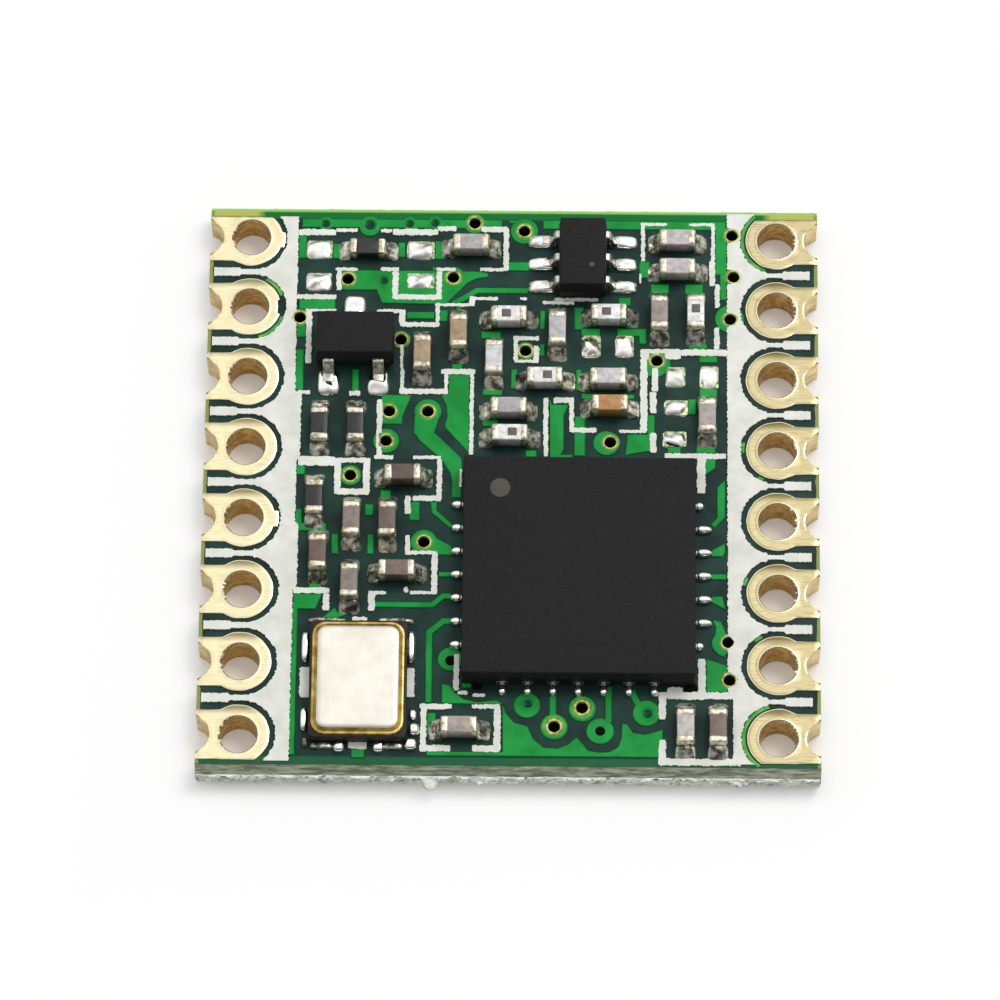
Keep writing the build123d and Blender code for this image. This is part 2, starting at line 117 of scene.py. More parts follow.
def noiseAt(tree, place, size, detail=3.0, roughness=0.55):  # size in mm
    sockets = (("Vector", place), ("Scale", 1 / (size * mm)), ("Detail", detail), ("Roughness", roughness))
    return addNode(tree, "ShaderNodeTexNoise", sockets).outputs["Fac"]


def newMaterial(name):
    material = bpy.data.materials.new(name)
    material.use_nodes = True
    tree = material.node_tree
    return material, tree, tree.nodes["Principled BSDF"]


def addBump(tree, shader, height, depth):  # depth in mm
    sockets = (("Height", height), ("Distance", depth * mm), ("Strength", 1.0))
    bump = addNode(tree, "ShaderNodeBump", sockets)
    tree.links.new(bump.outputs[0], shader.inputs["Normal"])


def mottled(name, dark, light, size, roughness=(0.4, 0.6), metallic=0.0, bumpSize=0.03, bumpDepth=0.002,
            stretch=(1.0, 1.0, 1.0), contrast=(0.35, 0.65), shine=0.5, foot=None):
    # two close tones in soft patches, a roughness that follows them, and a fine bump
    material, tree, shader = newMaterial(name)
    place = objectPlace(tree, stretch)
    patches = spread(tree, noiseAt(tree, place, size), contrast[0], contrast[1])
    colour = blendColours(tree, patches, srgb(*dark), srgb(*light))
    # painted shade at the foot: the colour darkens towards the board
    if foot:  # a tone and the height above the board where it has faded out
        up = axesOf(tree, objectPlace(tree))[2]
        low = spread(tree, up, boardTop * mm, (boardTop + foot[1]) * mm, 0.9, 0)
        colour = blendColours(tree, low, colour, srgb(*foot[0]))
    follow = spread(tree, patches, 0, 1, roughness[0], roughness[1])
    fillInputs(tree, shader, (("Base Color", colour), ("Roughness", follow), ("Metallic", metallic),
                              ("Specular IOR Level", shine)))
    addBump(tree, shader, noiseAt(tree, place, bumpSize, 2.0), bumpDepth)
    return material


def makeMaskMaterial():
    # green mask on top, bare laminate where the mask is pulled back, sawn laminate round the sides, and a
    # painted highlight in lime along the back edge, where its slope catches the light
    look = {"mask": (24, 46, 42), "maskLight": (36, 67, 60), "back": (14, 112, 50), "front": (32, 98, 62),
            "backFrom": 7.56, "frontFrom": 7.55, "rim": (142, 200, 88), "highlightY": 7.74,
            "laminate": (146, 152, 84), "corner": (190, 184, 92), "saw": (122, 126, 106),
            "sawPale": (206, 211, 190), "pullBack": 7.95, "cornerX": 6.55, "cornerY": 7.6}
    material, tree, shader = newMaterial("green_mask")
    place = objectPlace(tree)
    across, along, up = axesOf(tree, place)
    farX = mathNode(tree, "ABSOLUTE", across)
    farY = mathNode(tree, "ABSOLUTE", along)
    cloud = spread(tree, noiseAt(tree, place, 0.9), 0.35, 0.65)
    green = blendColours(tree, cloud, srgb(*look["mask"]), srgb(*look["maskLight"]))
    weave = spread(tree, noiseAt(tree, objectPlace(tree, (0.28, 2, 2)), 0.16, 4.0, 0.65), 0.4, 0.66)
    saw = blendColours(tree, weave, srgb(*look["saw"]), srgb(*look["sawPale"]))
    wander = mathNode(tree, "MULTIPLY", noiseAt(tree, place, 0.25), 0.08 * mm)
    isEdge = mathNode(tree, "GREATER_THAN", mathNode(tree, "ADD", farX, wander), look["pullBack"] * mm)
    nearSide = spread(tree, farX, look["cornerX"] * mm, (look["cornerX"] + 0.25) * mm)
    nearEnd = spread(tree, farY, look["cornerY"] * mm, (look["cornerY"] + 0.06) * mm)
    isCorner = mathNode(tree, "MULTIPLY", nearSide, nearEnd)
    isBack = spread(tree, along, look["backFrom"] * mm, (look["backFrom"] + 0.03) * mm)
    isFront = spread(tree, along, -(look["frontFrom"] + 0.05) * mm, -look["frontFrom"] * mm, 1, 0)
    green = blendColours(tree, isFront, green, srgb(*look["front"]))
    # painted highlight: lime along the back edge, on the top and on the sawn side
    isPaintedHighlight = spread(tree, along, look["highlightY"] * mm, (look["highlightY"] + 0.07) * mm)
    top = blendColours(tree, isBack, green, srgb(*look["back"]))
    top = blendColours(tree, isPaintedHighlight, top, srgb(*look["rim"]))
    isBackCorner = mathNode(tree, "MULTIPLY", isCorner, mathNode(tree, "GREATER_THAN", along, 0.0))
    top = blendColours(tree, isBackCorner, top, srgb(*look["corner"]))
    top = blendColours(tree, isEdge, top, srgb(*look["laminate"]))
    saw = blendColours(tree, isPaintedHighlight, saw, srgb(*look["rim"]))
    isTop = spread(tree, up, (boardTop - 0.03) * mm, (boardTop - 0.005) * mm)
    isUnder = spread(tree, up, (boardBottom + 0.005) * mm, (boardBottom + 0.03) * mm, 1, 0)
    masked = mathNode(tree, "MAXIMUM", isTop, isUnder)
    colour = blendColours(tree, masked, saw, top)
    smooth = spread(tree, masked, 0, 1, 0.75, 0.28)
    fillInputs(tree, shader, (("Base Color", colour), ("Roughness", smooth), ("Specular IOR Level", 0.12)))
    addBump(tree, shader, noiseAt(tree, place, 0.2), 0.004)
    return material


def makeCopperMaterial():
    # bright green on the flat of the copper, darker down the mask's slope beside it
    look = {"flat": (8, 137, 52), "flatLight": (24, 160, 68), "slope": (6, 58, 34), "slopeFrom": 0.008,
            "slopeTo": 0.028}
    material, tree, shader = newMaterial("green_over_copper")
    place = objectPlace(tree)
    up = axesOf(tree, place)[2]
    flat = blendColours(tree, spread(tree, noiseAt(tree, place, 0.7), 0.35, 0.65),
                        srgb(*look["flat"]), srgb(*look["flatLight"]))
    high = spread(tree, up, (boardTop + look["slopeFrom"]) * mm, (boardTop + look["slopeTo"]) * mm)
    colour = blendColours(tree, high, srgb(*look["slope"]), flat)
    fillInputs(tree, shader, (("Base Color", colour), ("Roughness", 0.3), ("Specular IOR Level", 0.15)))
    addBump(tree, shader, noiseAt(tree, place, 0.12), 0.003)
    return material


def makeGoldMaterial():
    # painted reflection: cream on the left, browner on the right, as the pads on the two sides catch the
    # light differently; fine brushing along X
    look = {"left": (238, 226, 184), "right": (175, 163, 124), "scratch": (126, 106, 64),
            "far": (106, 94, 56)}
    material, tree, shader = newMaterial("gold_pad")
    place = objectPlace(tree)
    across, along, _ = axesOf(tree, place)
    # the painted reflection runs across X, from the lighter left pads to the browner right ones
    side = spread(tree, across, -boardHalf * mm, boardHalf * mm)
    paintedSideLight = blendColours(tree, side, srgb(*look["left"]), srgb(*look["right"]))
    brush = spread(tree, noiseAt(tree, objectPlace(tree, (0.12, 1.6, 1)), 0.05, 4.0), 0.5, 0.72)
    depth = mathNode(tree, "MULTIPLY", brush, spread(tree, side, 0, 1, 0.3, 0.65))
    colour = blendColours(tree, depth, paintedSideLight, srgb(*look["scratch"]))
    # painted shade: a browner band along the far side of each pad, where its rounded edge faces away from
    # the light, repeated with the rows
    rows = mathNode(tree, "DIVIDE", mathNode(tree, "ADD", along, edge["rows"] * mm), edge["pitch"] * mm)
    inRow = mathNode(tree, "FRACT", rows)
    far = mathNode(tree, "MULTIPLY", spread(tree, inRow, 0.77, 0.86), spread(tree, side, 0, 1, 0.75, 0.95))
    colour = blendColours(tree, far, colour, srgb(*look["far"]))
    smooth = spread(tree, noiseAt(tree, place, 0.3), 0.3, 0.7, 0.26, 0.42)
    fillInputs(tree, shader, (("Base Color", colour), ("Roughness", smooth), ("Metallic", 0.9)))
    addBump(tree, shader, noiseAt(tree, objectPlace(tree, (0.15, 1.5, 1)), 0.06, 4.0), 0.004)
    return material


def makeMouldingMaterial(name, marks=()):
    # black compound with pale specks; each mark is a round laser spot: x, y, radius in mm
    look = {"dark": (27, 27, 29), "light": (42, 42, 43), "speck": (76, 76, 76), "mark": (92, 88, 80)}
    material, tree, shader = newMaterial(name)
    place = objectPlace(tree)
    grain = spread(tree, noiseAt(tree, place, 0.05, 4.0, 0.7), 0.3, 0.7)
    colour = blendColours(tree, grain, srgb(*look["dark"]), srgb(*look["light"]))
    specks = spread(tree, noiseAt(tree, place, 0.035, 1.0), 0.7, 0.78)
    colour = blendColours(tree, specks, colour, srgb(*look["speck"]))
    across, along, _ = axesOf(tree, place)
    for markX, markY, radius in marks:
        fromX = mathNode(tree, "SUBTRACT", across, markX * mm)
        fromY = mathNode(tree, "SUBTRACT", along, markY * mm)
        squares = [mathNode(tree, "MULTIPLY", step, step) for step in (fromX, fromY)]
        far = mathNode(tree, "SQRT", mathNode(tree, "ADD", *squares))
        inside = spread(tree, far, (radius - 0.02) * mm, radius * mm, 0.85, 0)
        colour = blendColours(tree, inside, colour, srgb(*look["mark"]))
    fillInputs(tree, shader, (("Base Color", colour), ("Roughness", 0.6), ("Specular IOR Level", 0.1)))
    addBump(tree, shader, noiseAt(tree, place, 0.04, 3.0), 0.004)
    return material


finish = {  # dark and light tone, size of the patches, roughness from and to, metallic, bump size and depth
    "mask": makeMaskMaterial(),
    "copper": makeCopperMaterial(),
    "lime": mottled("lime_rim", (44, 150, 56), (104, 186, 76), 0.3, (0.3, 0.4), shine=0.2),
    "ink": mottled("legend_ink", (222, 224, 214), (238, 239, 231), 0.5, (0.55, 0.7), bumpDepth=0.004,
                   shine=0.1),
    "gold": makeGoldMaterial(),
    "barrel": mottled("barrel_gold", (188, 152, 74), (240, 208, 136), 0.2, (0.2, 0.34), 0.9, 0.12, 0.005),
    "notchWall": mottled("notch_gold", (206, 182, 122), (242, 222, 164), 0.3, (0.3, 0.4), 0.85, 0.15,
                         0.003),
    # painted highlight: a paler gold for the rounded lip round each hole and the bevel round each pad
    "rim": mottled("gold_painted_highlight", (250, 234, 188), (255, 248, 222), 0.3, (0.16, 0.26), 0.85, 0.1, 0.003),
    "ring": mottled("via_gold", (130, 138, 62), (216, 214, 128), 0.12, (0.35, 0.5), 0.3, shine=0.2),
    # painted shade: the inside of each open via, near-black
    "viaWall": mottled("via_wall_painted_shade", (10, 11, 7), (44, 40, 20), 0.08, (0.5, 0.7), 0.0, shine=0.1),
    "solder": mottled("solder", (232, 231, 226), (252, 251, 247), 0.2, (0.05, 0.13), 1.0, 0.3, 0.004),
    # painted reflections: dark and bright patches in the fillet metal, for the dark surroundings and bright
    # lights it mirrors
    "fillet": mottled("solder_fillet_painted_reflections", (92, 96, 82), (236, 232, 218), 0.2, (0.1, 0.22), 0.7, 0.24, 0.004,
                      contrast=(0.4, 0.62)),
    "land": mottled("land_edge", (92, 116, 72), (208, 208, 172), 0.14, (0.3, 0.4), 0.8,
                    contrast=(0.4, 0.66)),
    "tin": mottled("tinned_metal", (190, 186, 176), (226, 222, 212), 0.12, (0.2, 0.36), 0.95, 0.06, 0.005),
    # the end metal, with painted shade darkening its foot
    "cap": mottled("end_metal", (128, 114, 92), (232, 223, 202), 0.11, (0.3, 0.44), 0.8, 0.06, 0.005,
                   contrast=(0.28, 0.56), foot=((58, 58, 44), 0.4)),
    "ceramic": mottled("crystal_ceramic", (34, 29, 25), (54, 47, 41), 0.15, shine=0.2),
    "seam": mottled("seam_gold", (162, 132, 60), (214, 186, 108), 0.3, (0.2, 0.35), 0.9, 0.1, 0.004),
    "lid": mottled("lid_nickel", (216, 211, 198), (230, 225, 215), 0.8, (0.34, 0.46), 0.75, 0.05, 0.003),
    "web": mottled("broken_laminate", (184, 188, 168), (252, 254, 248), 0.2, (0.7, 0.85), 0.0, 0.06, 0.02,
                   (0.4, 1, 1.5), (0.36, 0.56), shine=0.1),
    # painted shade: a near-black disc standing in for the inside of an open hole
    "dark": mottled("hole_painted_shade", (6, 8, 6), (16, 20, 14), 0.1, (0.6, 0.8), shine=0.05),
    "markInk": mottled("inductor_mark", (84, 74, 66), (108, 98, 88), 0.1),
}
print("materials ready")


# Mesh helpers

def newObject(name, data):
    made = bpy.data.objects.new(name, data)
    bpy.context.scene.collection.objects.link(made)
    return made


def footAndTop(middle, size):  # heights
    return middle[2] - size[2] / 2, middle[2] + size[2] / 2


def wobble(across, along, seed, size, waves=6):
    # a smooth random height between about -1 and 1: the mean of plane waves about `size` mm long
    random = np.random.default_rng(seed)
    total = 0.0
    for _ in range(waves):
        turn = random.uniform(0, 2 * np.pi)
        pace = 2 * np.pi / (size * random.uniform(0.6, 1.6))
        phase = random.uniform(0, 2 * np.pi)
        total = total + np.sin(pace * (across * np.cos(turn) + along * np.sin(turn)) + phase)
    return 2 * total / waves


def skin(loops, capped=True, joined=False):
    # rows of closed loops: each point meets the next one on its loop and the same two on the next row, in
    # one quad. Both ends get a fan to their middle, or the last row meets the first
    rows, count = loops.shape[:2]
    points = loops.reshape(-1, 3)
    index = np.arange(rows * count).reshape(rows, count)
    here = index if joined else index[:-1]
    there = np.roll(index, -1, 0) if joined else index[1:]
    faces = np.stack((here, np.roll(here, -1, 1), np.roll(there, -1, 1), there), -1).reshape(-1, 4).tolist()
    if capped and not joined:
        for row, flipped in ((0, True), (rows - 1, False)):
            ring = index[row]
            fan = np.stack((ring, np.roll(ring, -1), np.full(count, len(points))), -1)
            points = np.vstack((points, loops[row].mean(0)))
            faces += (fan[:, ::-1] if flipped else fan).tolist()
    return points, faces


def joinSkins(skins):  # several (points, faces) pairs as one
    points, faces = [], []
    start = 0
    for skinPoints, skinFaces in skins:
        points.append(skinPoints)
        faces += [[corner + start for corner in face] for face in skinFaces]
        start += len(skinPoints)
    return np.concatenate(points), faces


def roundRect(width, depth, radius, steps=5):
    # four quarter arcs, anticlockwise
    quarter = np.linspace(0, np.pi / 2, steps)
    arcs = []
    for number, (signX, signY) in enumerate(((1, 1), (-1, 1), (-1, -1), (1, -1))):
        turn = quarter + number * np.pi / 2
        arcs.append(np.stack((signX * (width / 2 - radius) + radius * np.cos(turn),
                              signY * (depth / 2 - radius) + radius * np.sin(turn)), -1))
    return np.concatenate(arcs)


def stacked(width, depth, corner, levels):
    # one rounded rectangle at each level; a level is its height and how far it is drawn in
    loops = []
    for height, inset in levels:
        plan = roundRect(width - 2 * inset, depth - 2 * inset, max(corner - inset, 0.004))
        loops.append(np.column_stack((plan, np.full(len(plan), height))))
    return np.stack(loops)


def roundedLevels(low, high, edgeLow, edgeHigh, steps=4):
    # heights and insets of an upright wall with quarter rounds at its foot and at its top
    turn = np.linspace(0, np.pi / 2, steps)
    foot = [(low + edgeLow * (1 - math.cos(t)), edgeLow * (1 - math.sin(t))) for t in turn]
    top = [(high - edgeHigh * (1 - math.sin(t)), edgeHigh * (1 - math.cos(t))) for t in turn]
    return foot + top


def placed(points, at, turn=0.0):  # turned about Z by turn in degrees, then moved to at
    angle = math.radians(turn)
    cosine, sine = math.cos(angle), math.sin(angle)
    moved = np.array(points, float)
    x, y = moved[..., 0].copy(), moved[..., 1].copy()
    moved[..., 0] = at[0] + x * cosine - y * sine
    moved[..., 1] = at[1] + x * sine + y * cosine
    return moved


def makePiece(name, chunks, replaced=(), sharp=38.0):
    # chunks are (points, faces, material); each chunk is one closed skin
    numbers, materials = [], []
    for _, chunkFaces, material in chunks:
        if material not in materials:
            materials.append(material)
        numbers += [materials.index(material)] * len(chunkFaces)
    points, faces = joinSkins([chunk[:2] for chunk in chunks])
    mesh = bpy.data.meshes.new(name)
    mesh.from_pydata(points * mm, [], faces)
    mesh.polygons.foreach_set("material_index", numbers)
    for material in materials:
        mesh.materials.append(material)
    work = bmesh.new()
    work.from_mesh(mesh)
    bmesh.ops.recalc_face_normals(work, faces=work.faces)
    work.to_mesh(mesh)
    work.free()
    mesh.polygons.foreach_set("use_smooth", [True] * len(mesh.polygons))
    mesh.set_sharp_from_angle(angle=math.radians(sharp))
    piece = newObject(name, mesh)
    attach(piece, "root")
    if replaced:
        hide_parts(*replaced)
    return piece


def dress(nodeName, material):  # a CAD node kept as it is, with its finish
    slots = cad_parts[nodeName].data.materials
    slots.clear()
    slots.append(material)


# Terminals

def padOutline(theta, trimHigh, trimLow):
    # distance from the hole's centre out to the pad's edge, by angle: the larger of the round and the
    # tongue, no further than the board's edge, the notch or the trimmed end of the row
    reach = edge["holeInset"]
    cosine, sine = np.cos(theta), np.sin(theta)
    size = np.full_like(theta, edge["padRadius"])
    outward = np.maximum(cosine, 1e-6)
    tongue = np.minimum(reach / outward, edge["tongueHalf"] / np.maximum(np.abs(sine), 1e-6))
    size = np.where(cosine > 0.02, np.maximum(size, tongue), size)
    size = np.where(cosine > 0.02, np.minimum(size, reach / outward), size)
    centre = reach + edge["notchOutset"]
    inner = (centre * cosine) ** 2 - centre ** 2 + edge["notchRadius"] ** 2
    notch = centre * cosine - np.sqrt(np.maximum(inner, 0))
    size = np.where((inner > 0) & (cosine > 0), np.minimum(size, notch), size)
    size = np.minimum(size, np.where(sine > 0, trimHigh / np.maximum(sine, 1e-6), 9))
    return np.minimum(size, np.where(sine < 0, trimLow / np.maximum(-sine, 1e-6), 9))


def makeTerminal(number, side, rowY):
    # a closed band of rows round the hole: each row is a radius by angle and a height, up the plated wall,
    # over the lip, out over the pad, down to the laminate, in, down the drilled wall and back underneath
    look = {"around": 120, "lip": 0.012, "lipWidth": 0.07, "round": 0.03, "rough": 0.006, "burr": 0.08}
    theta = np.linspace(0, 2 * np.pi, look["around"], endpoint=False)
    trim = boardHalf - edge["cornerTrim"]
    high, low = max(trim - rowY, 0.1), max(trim + edge["frontSpare"] + rowY, 0.1)
    outline = padOutline(theta, high, low) + 0.006 * wobble(np.cos(theta), np.sin(theta), number, 0.5)
    for start, end, radius in edge["odd"].get(number, ()):
        outline = np.where((theta > math.radians(start)) & (theta < math.radians(end)), radius, outline)
    hole = np.full_like(theta, edge["holeRadius"])
    wall = hole + edge["plating"]
    rows = []
    depth = np.linspace(0.03, padTop - 0.03, 14)
    for level in depth:  # the plated wall, from the underside up, with torn metal towards the board's edge
        share = level / padTop
        torn = np.clip(np.cos(theta), 0, 1) ** 2 * look["burr"] * share ** 3
        bumps = look["rough"] * wobble(theta * 0.5, np.full_like(theta, level), 50 + number, 0.12)
        spikes = torn * np.clip(wobble(theta * 0.5, np.full_like(theta, level), 90 + number, 0.07), 0, 1)
        rows.append((hole - np.abs(bumps) - spikes, level))
    walls = len(rows)
    lip, lipWidth = look["lip"], look["lipWidth"]
    rows += [(hole + lip, padTop - 0.006), (hole + 2.2 * lip, padTop + 0.003),
             (hole + 0.6 * lipWidth, padTop + 0.002), (hole + lipWidth, padTop - 0.002)]
    for share in (0.25, 0.5, 0.75):
        rows.append((hole + lipWidth + share * (outline - look["round"] - hole - lipWidth), padTop))
    bevel = look["round"]
    rows += [(outline - bevel, padTop), (outline - 0.3 * bevel, padTop - 0.3 * bevel),
             (outline, padTop - bevel), (outline, boardTop), (wall, boardTop), (wall, boardBottom),
             (outline, boardBottom), (outline, bevel), (outline - bevel, 0.0),
             ((hole + outline) / 2, 0.0), (hole + lip, 0.0)]
    cosine, sine = np.cos(theta), np.sin(theta)
    loops = np.stack([np.column_stack((size * cosine, size * sine, np.full_like(theta, level)))
                      for size, level in rows])
    loops[..., 0] *= side
    centre = (side * (boardHalf - edge["holeInset"]), rowY)
    points, faces = skin(placed(loops, centre), joined=True)
    barrelFaces = (walls - 1) * look["around"]
    chunks = [(points, faces, finish["gold"])]
    # the half-hole: an arc of wall, its section a thin upright strip
    half = math.acos(edge["notchOutset"] / edge["notchRadius"])
    turn = np.linspace(-half, half, 40)
    levels = np.linspace(0.0, padTop, 12)
    face = edge["notchRadius"] + 0.003 * wobble(turn[:, None] * 0.5, levels[None, :], 130 + number, 0.12)
    back = np.full((len(turn), 2), edge["notchRadius"] + edge["plating"])
    sizes = np.hstack((face, back))
    heights = np.hstack((levels, [padTop - 0.04, 0.04]))
    outer = side * (boardHalf + edge["notchOutset"])
    arc = np.stack((outer - side * sizes * np.cos(turn)[:, None], rowY + sizes * np.sin(turn)[:, None],
                    np.broadcast_to(heights, sizes.shape)), -1)
    arc[..., 0] = np.clip(arc[..., 0], -boardHalf, boardHalf)
    chunks.append((*skin(arc), finish["notchWall"]))
    piece = makePiece(f"plated_terminal_{number}", chunks, (f"terminal_{number}",), 30.0)
    piece.data.materials.append(finish["barrel"])
    # the rim material is a painted highlight on the hole's lip and on the pad's bevel
    piece.data.materials.append(finish["rim"])
    barrel, rim = 2, 3  # their numbers, after the pad's gold and the half-hole's wall
    numbers = np.zeros(len(piece.data.polygons), int)
    piece.data.polygons.foreach_get("material_index", numbers)
    numbers[:barrelFaces] = barrel
    highlightRows = list(range(walls - 1, walls + 2)) + [walls + 7]  # the hole's lip, and the bevel round the pad
    for row in highlightRows:
        numbers[row * look["around"]:(row + 1) * look["around"]] = rim
    piece.data.polygons.foreach_set("material_index", numbers)


places = [(side, rowY) for side in (-1, 1) for rowY in rowPlaces]
for number, (side, rowY) in enumerate(places, start=1):
    makeTerminal(number, side, rowY)
print("terminals ready")


# Vias: places and sizes

viaLook = {
    "open": [
        (-1.03, 7.46), (0.28, 7.24), (-4.35, 5.82), (-1.58, 5.88), (-5.59, 4.7), (-2.93, 4.08),
        (0.34, 3.79), (-3.2, 2.04), (-2.19, 2.04), (-3.27, 1.2), (2.57, 1.2), (-4.18, 0.22),
        (-2.24, -1.64), (3.78, 3.53), (5.75, 7.15), (5.79, 5.95), (5.7, 4.73), (5.66, -5.41),
        (5.63, -4.37), (1.17, -6.72), (1.88, -6.2),
    ],
    "wide": [(1.17, -6.72), (1.88, -6.2)],
    "tented": [
        (-4.97, 7.42, 0.13), (-3.8, 7.39, 0.17), (-2.75, 7.43, 0.13), (-2.08, 7.46, 0.13),
        (-3.4, 5.78, 0.12), (0.49, -6.1, 0.13), (3.56, -6.34, 0.14),
    ],
    "dark": [
        (-0.82, -5.58, 0.15), (4.67, -5.65, 0.17), (2.35, -6.83, 0.13), (-1.5, -4.93, 0.14),
    ],
    "wall": 0.16, "drill": 0.175, "ring": 0.216, "wideRing": 0.235, "halo": 0.3, "haloWidth": 0.03,
}


# Copper under the mask

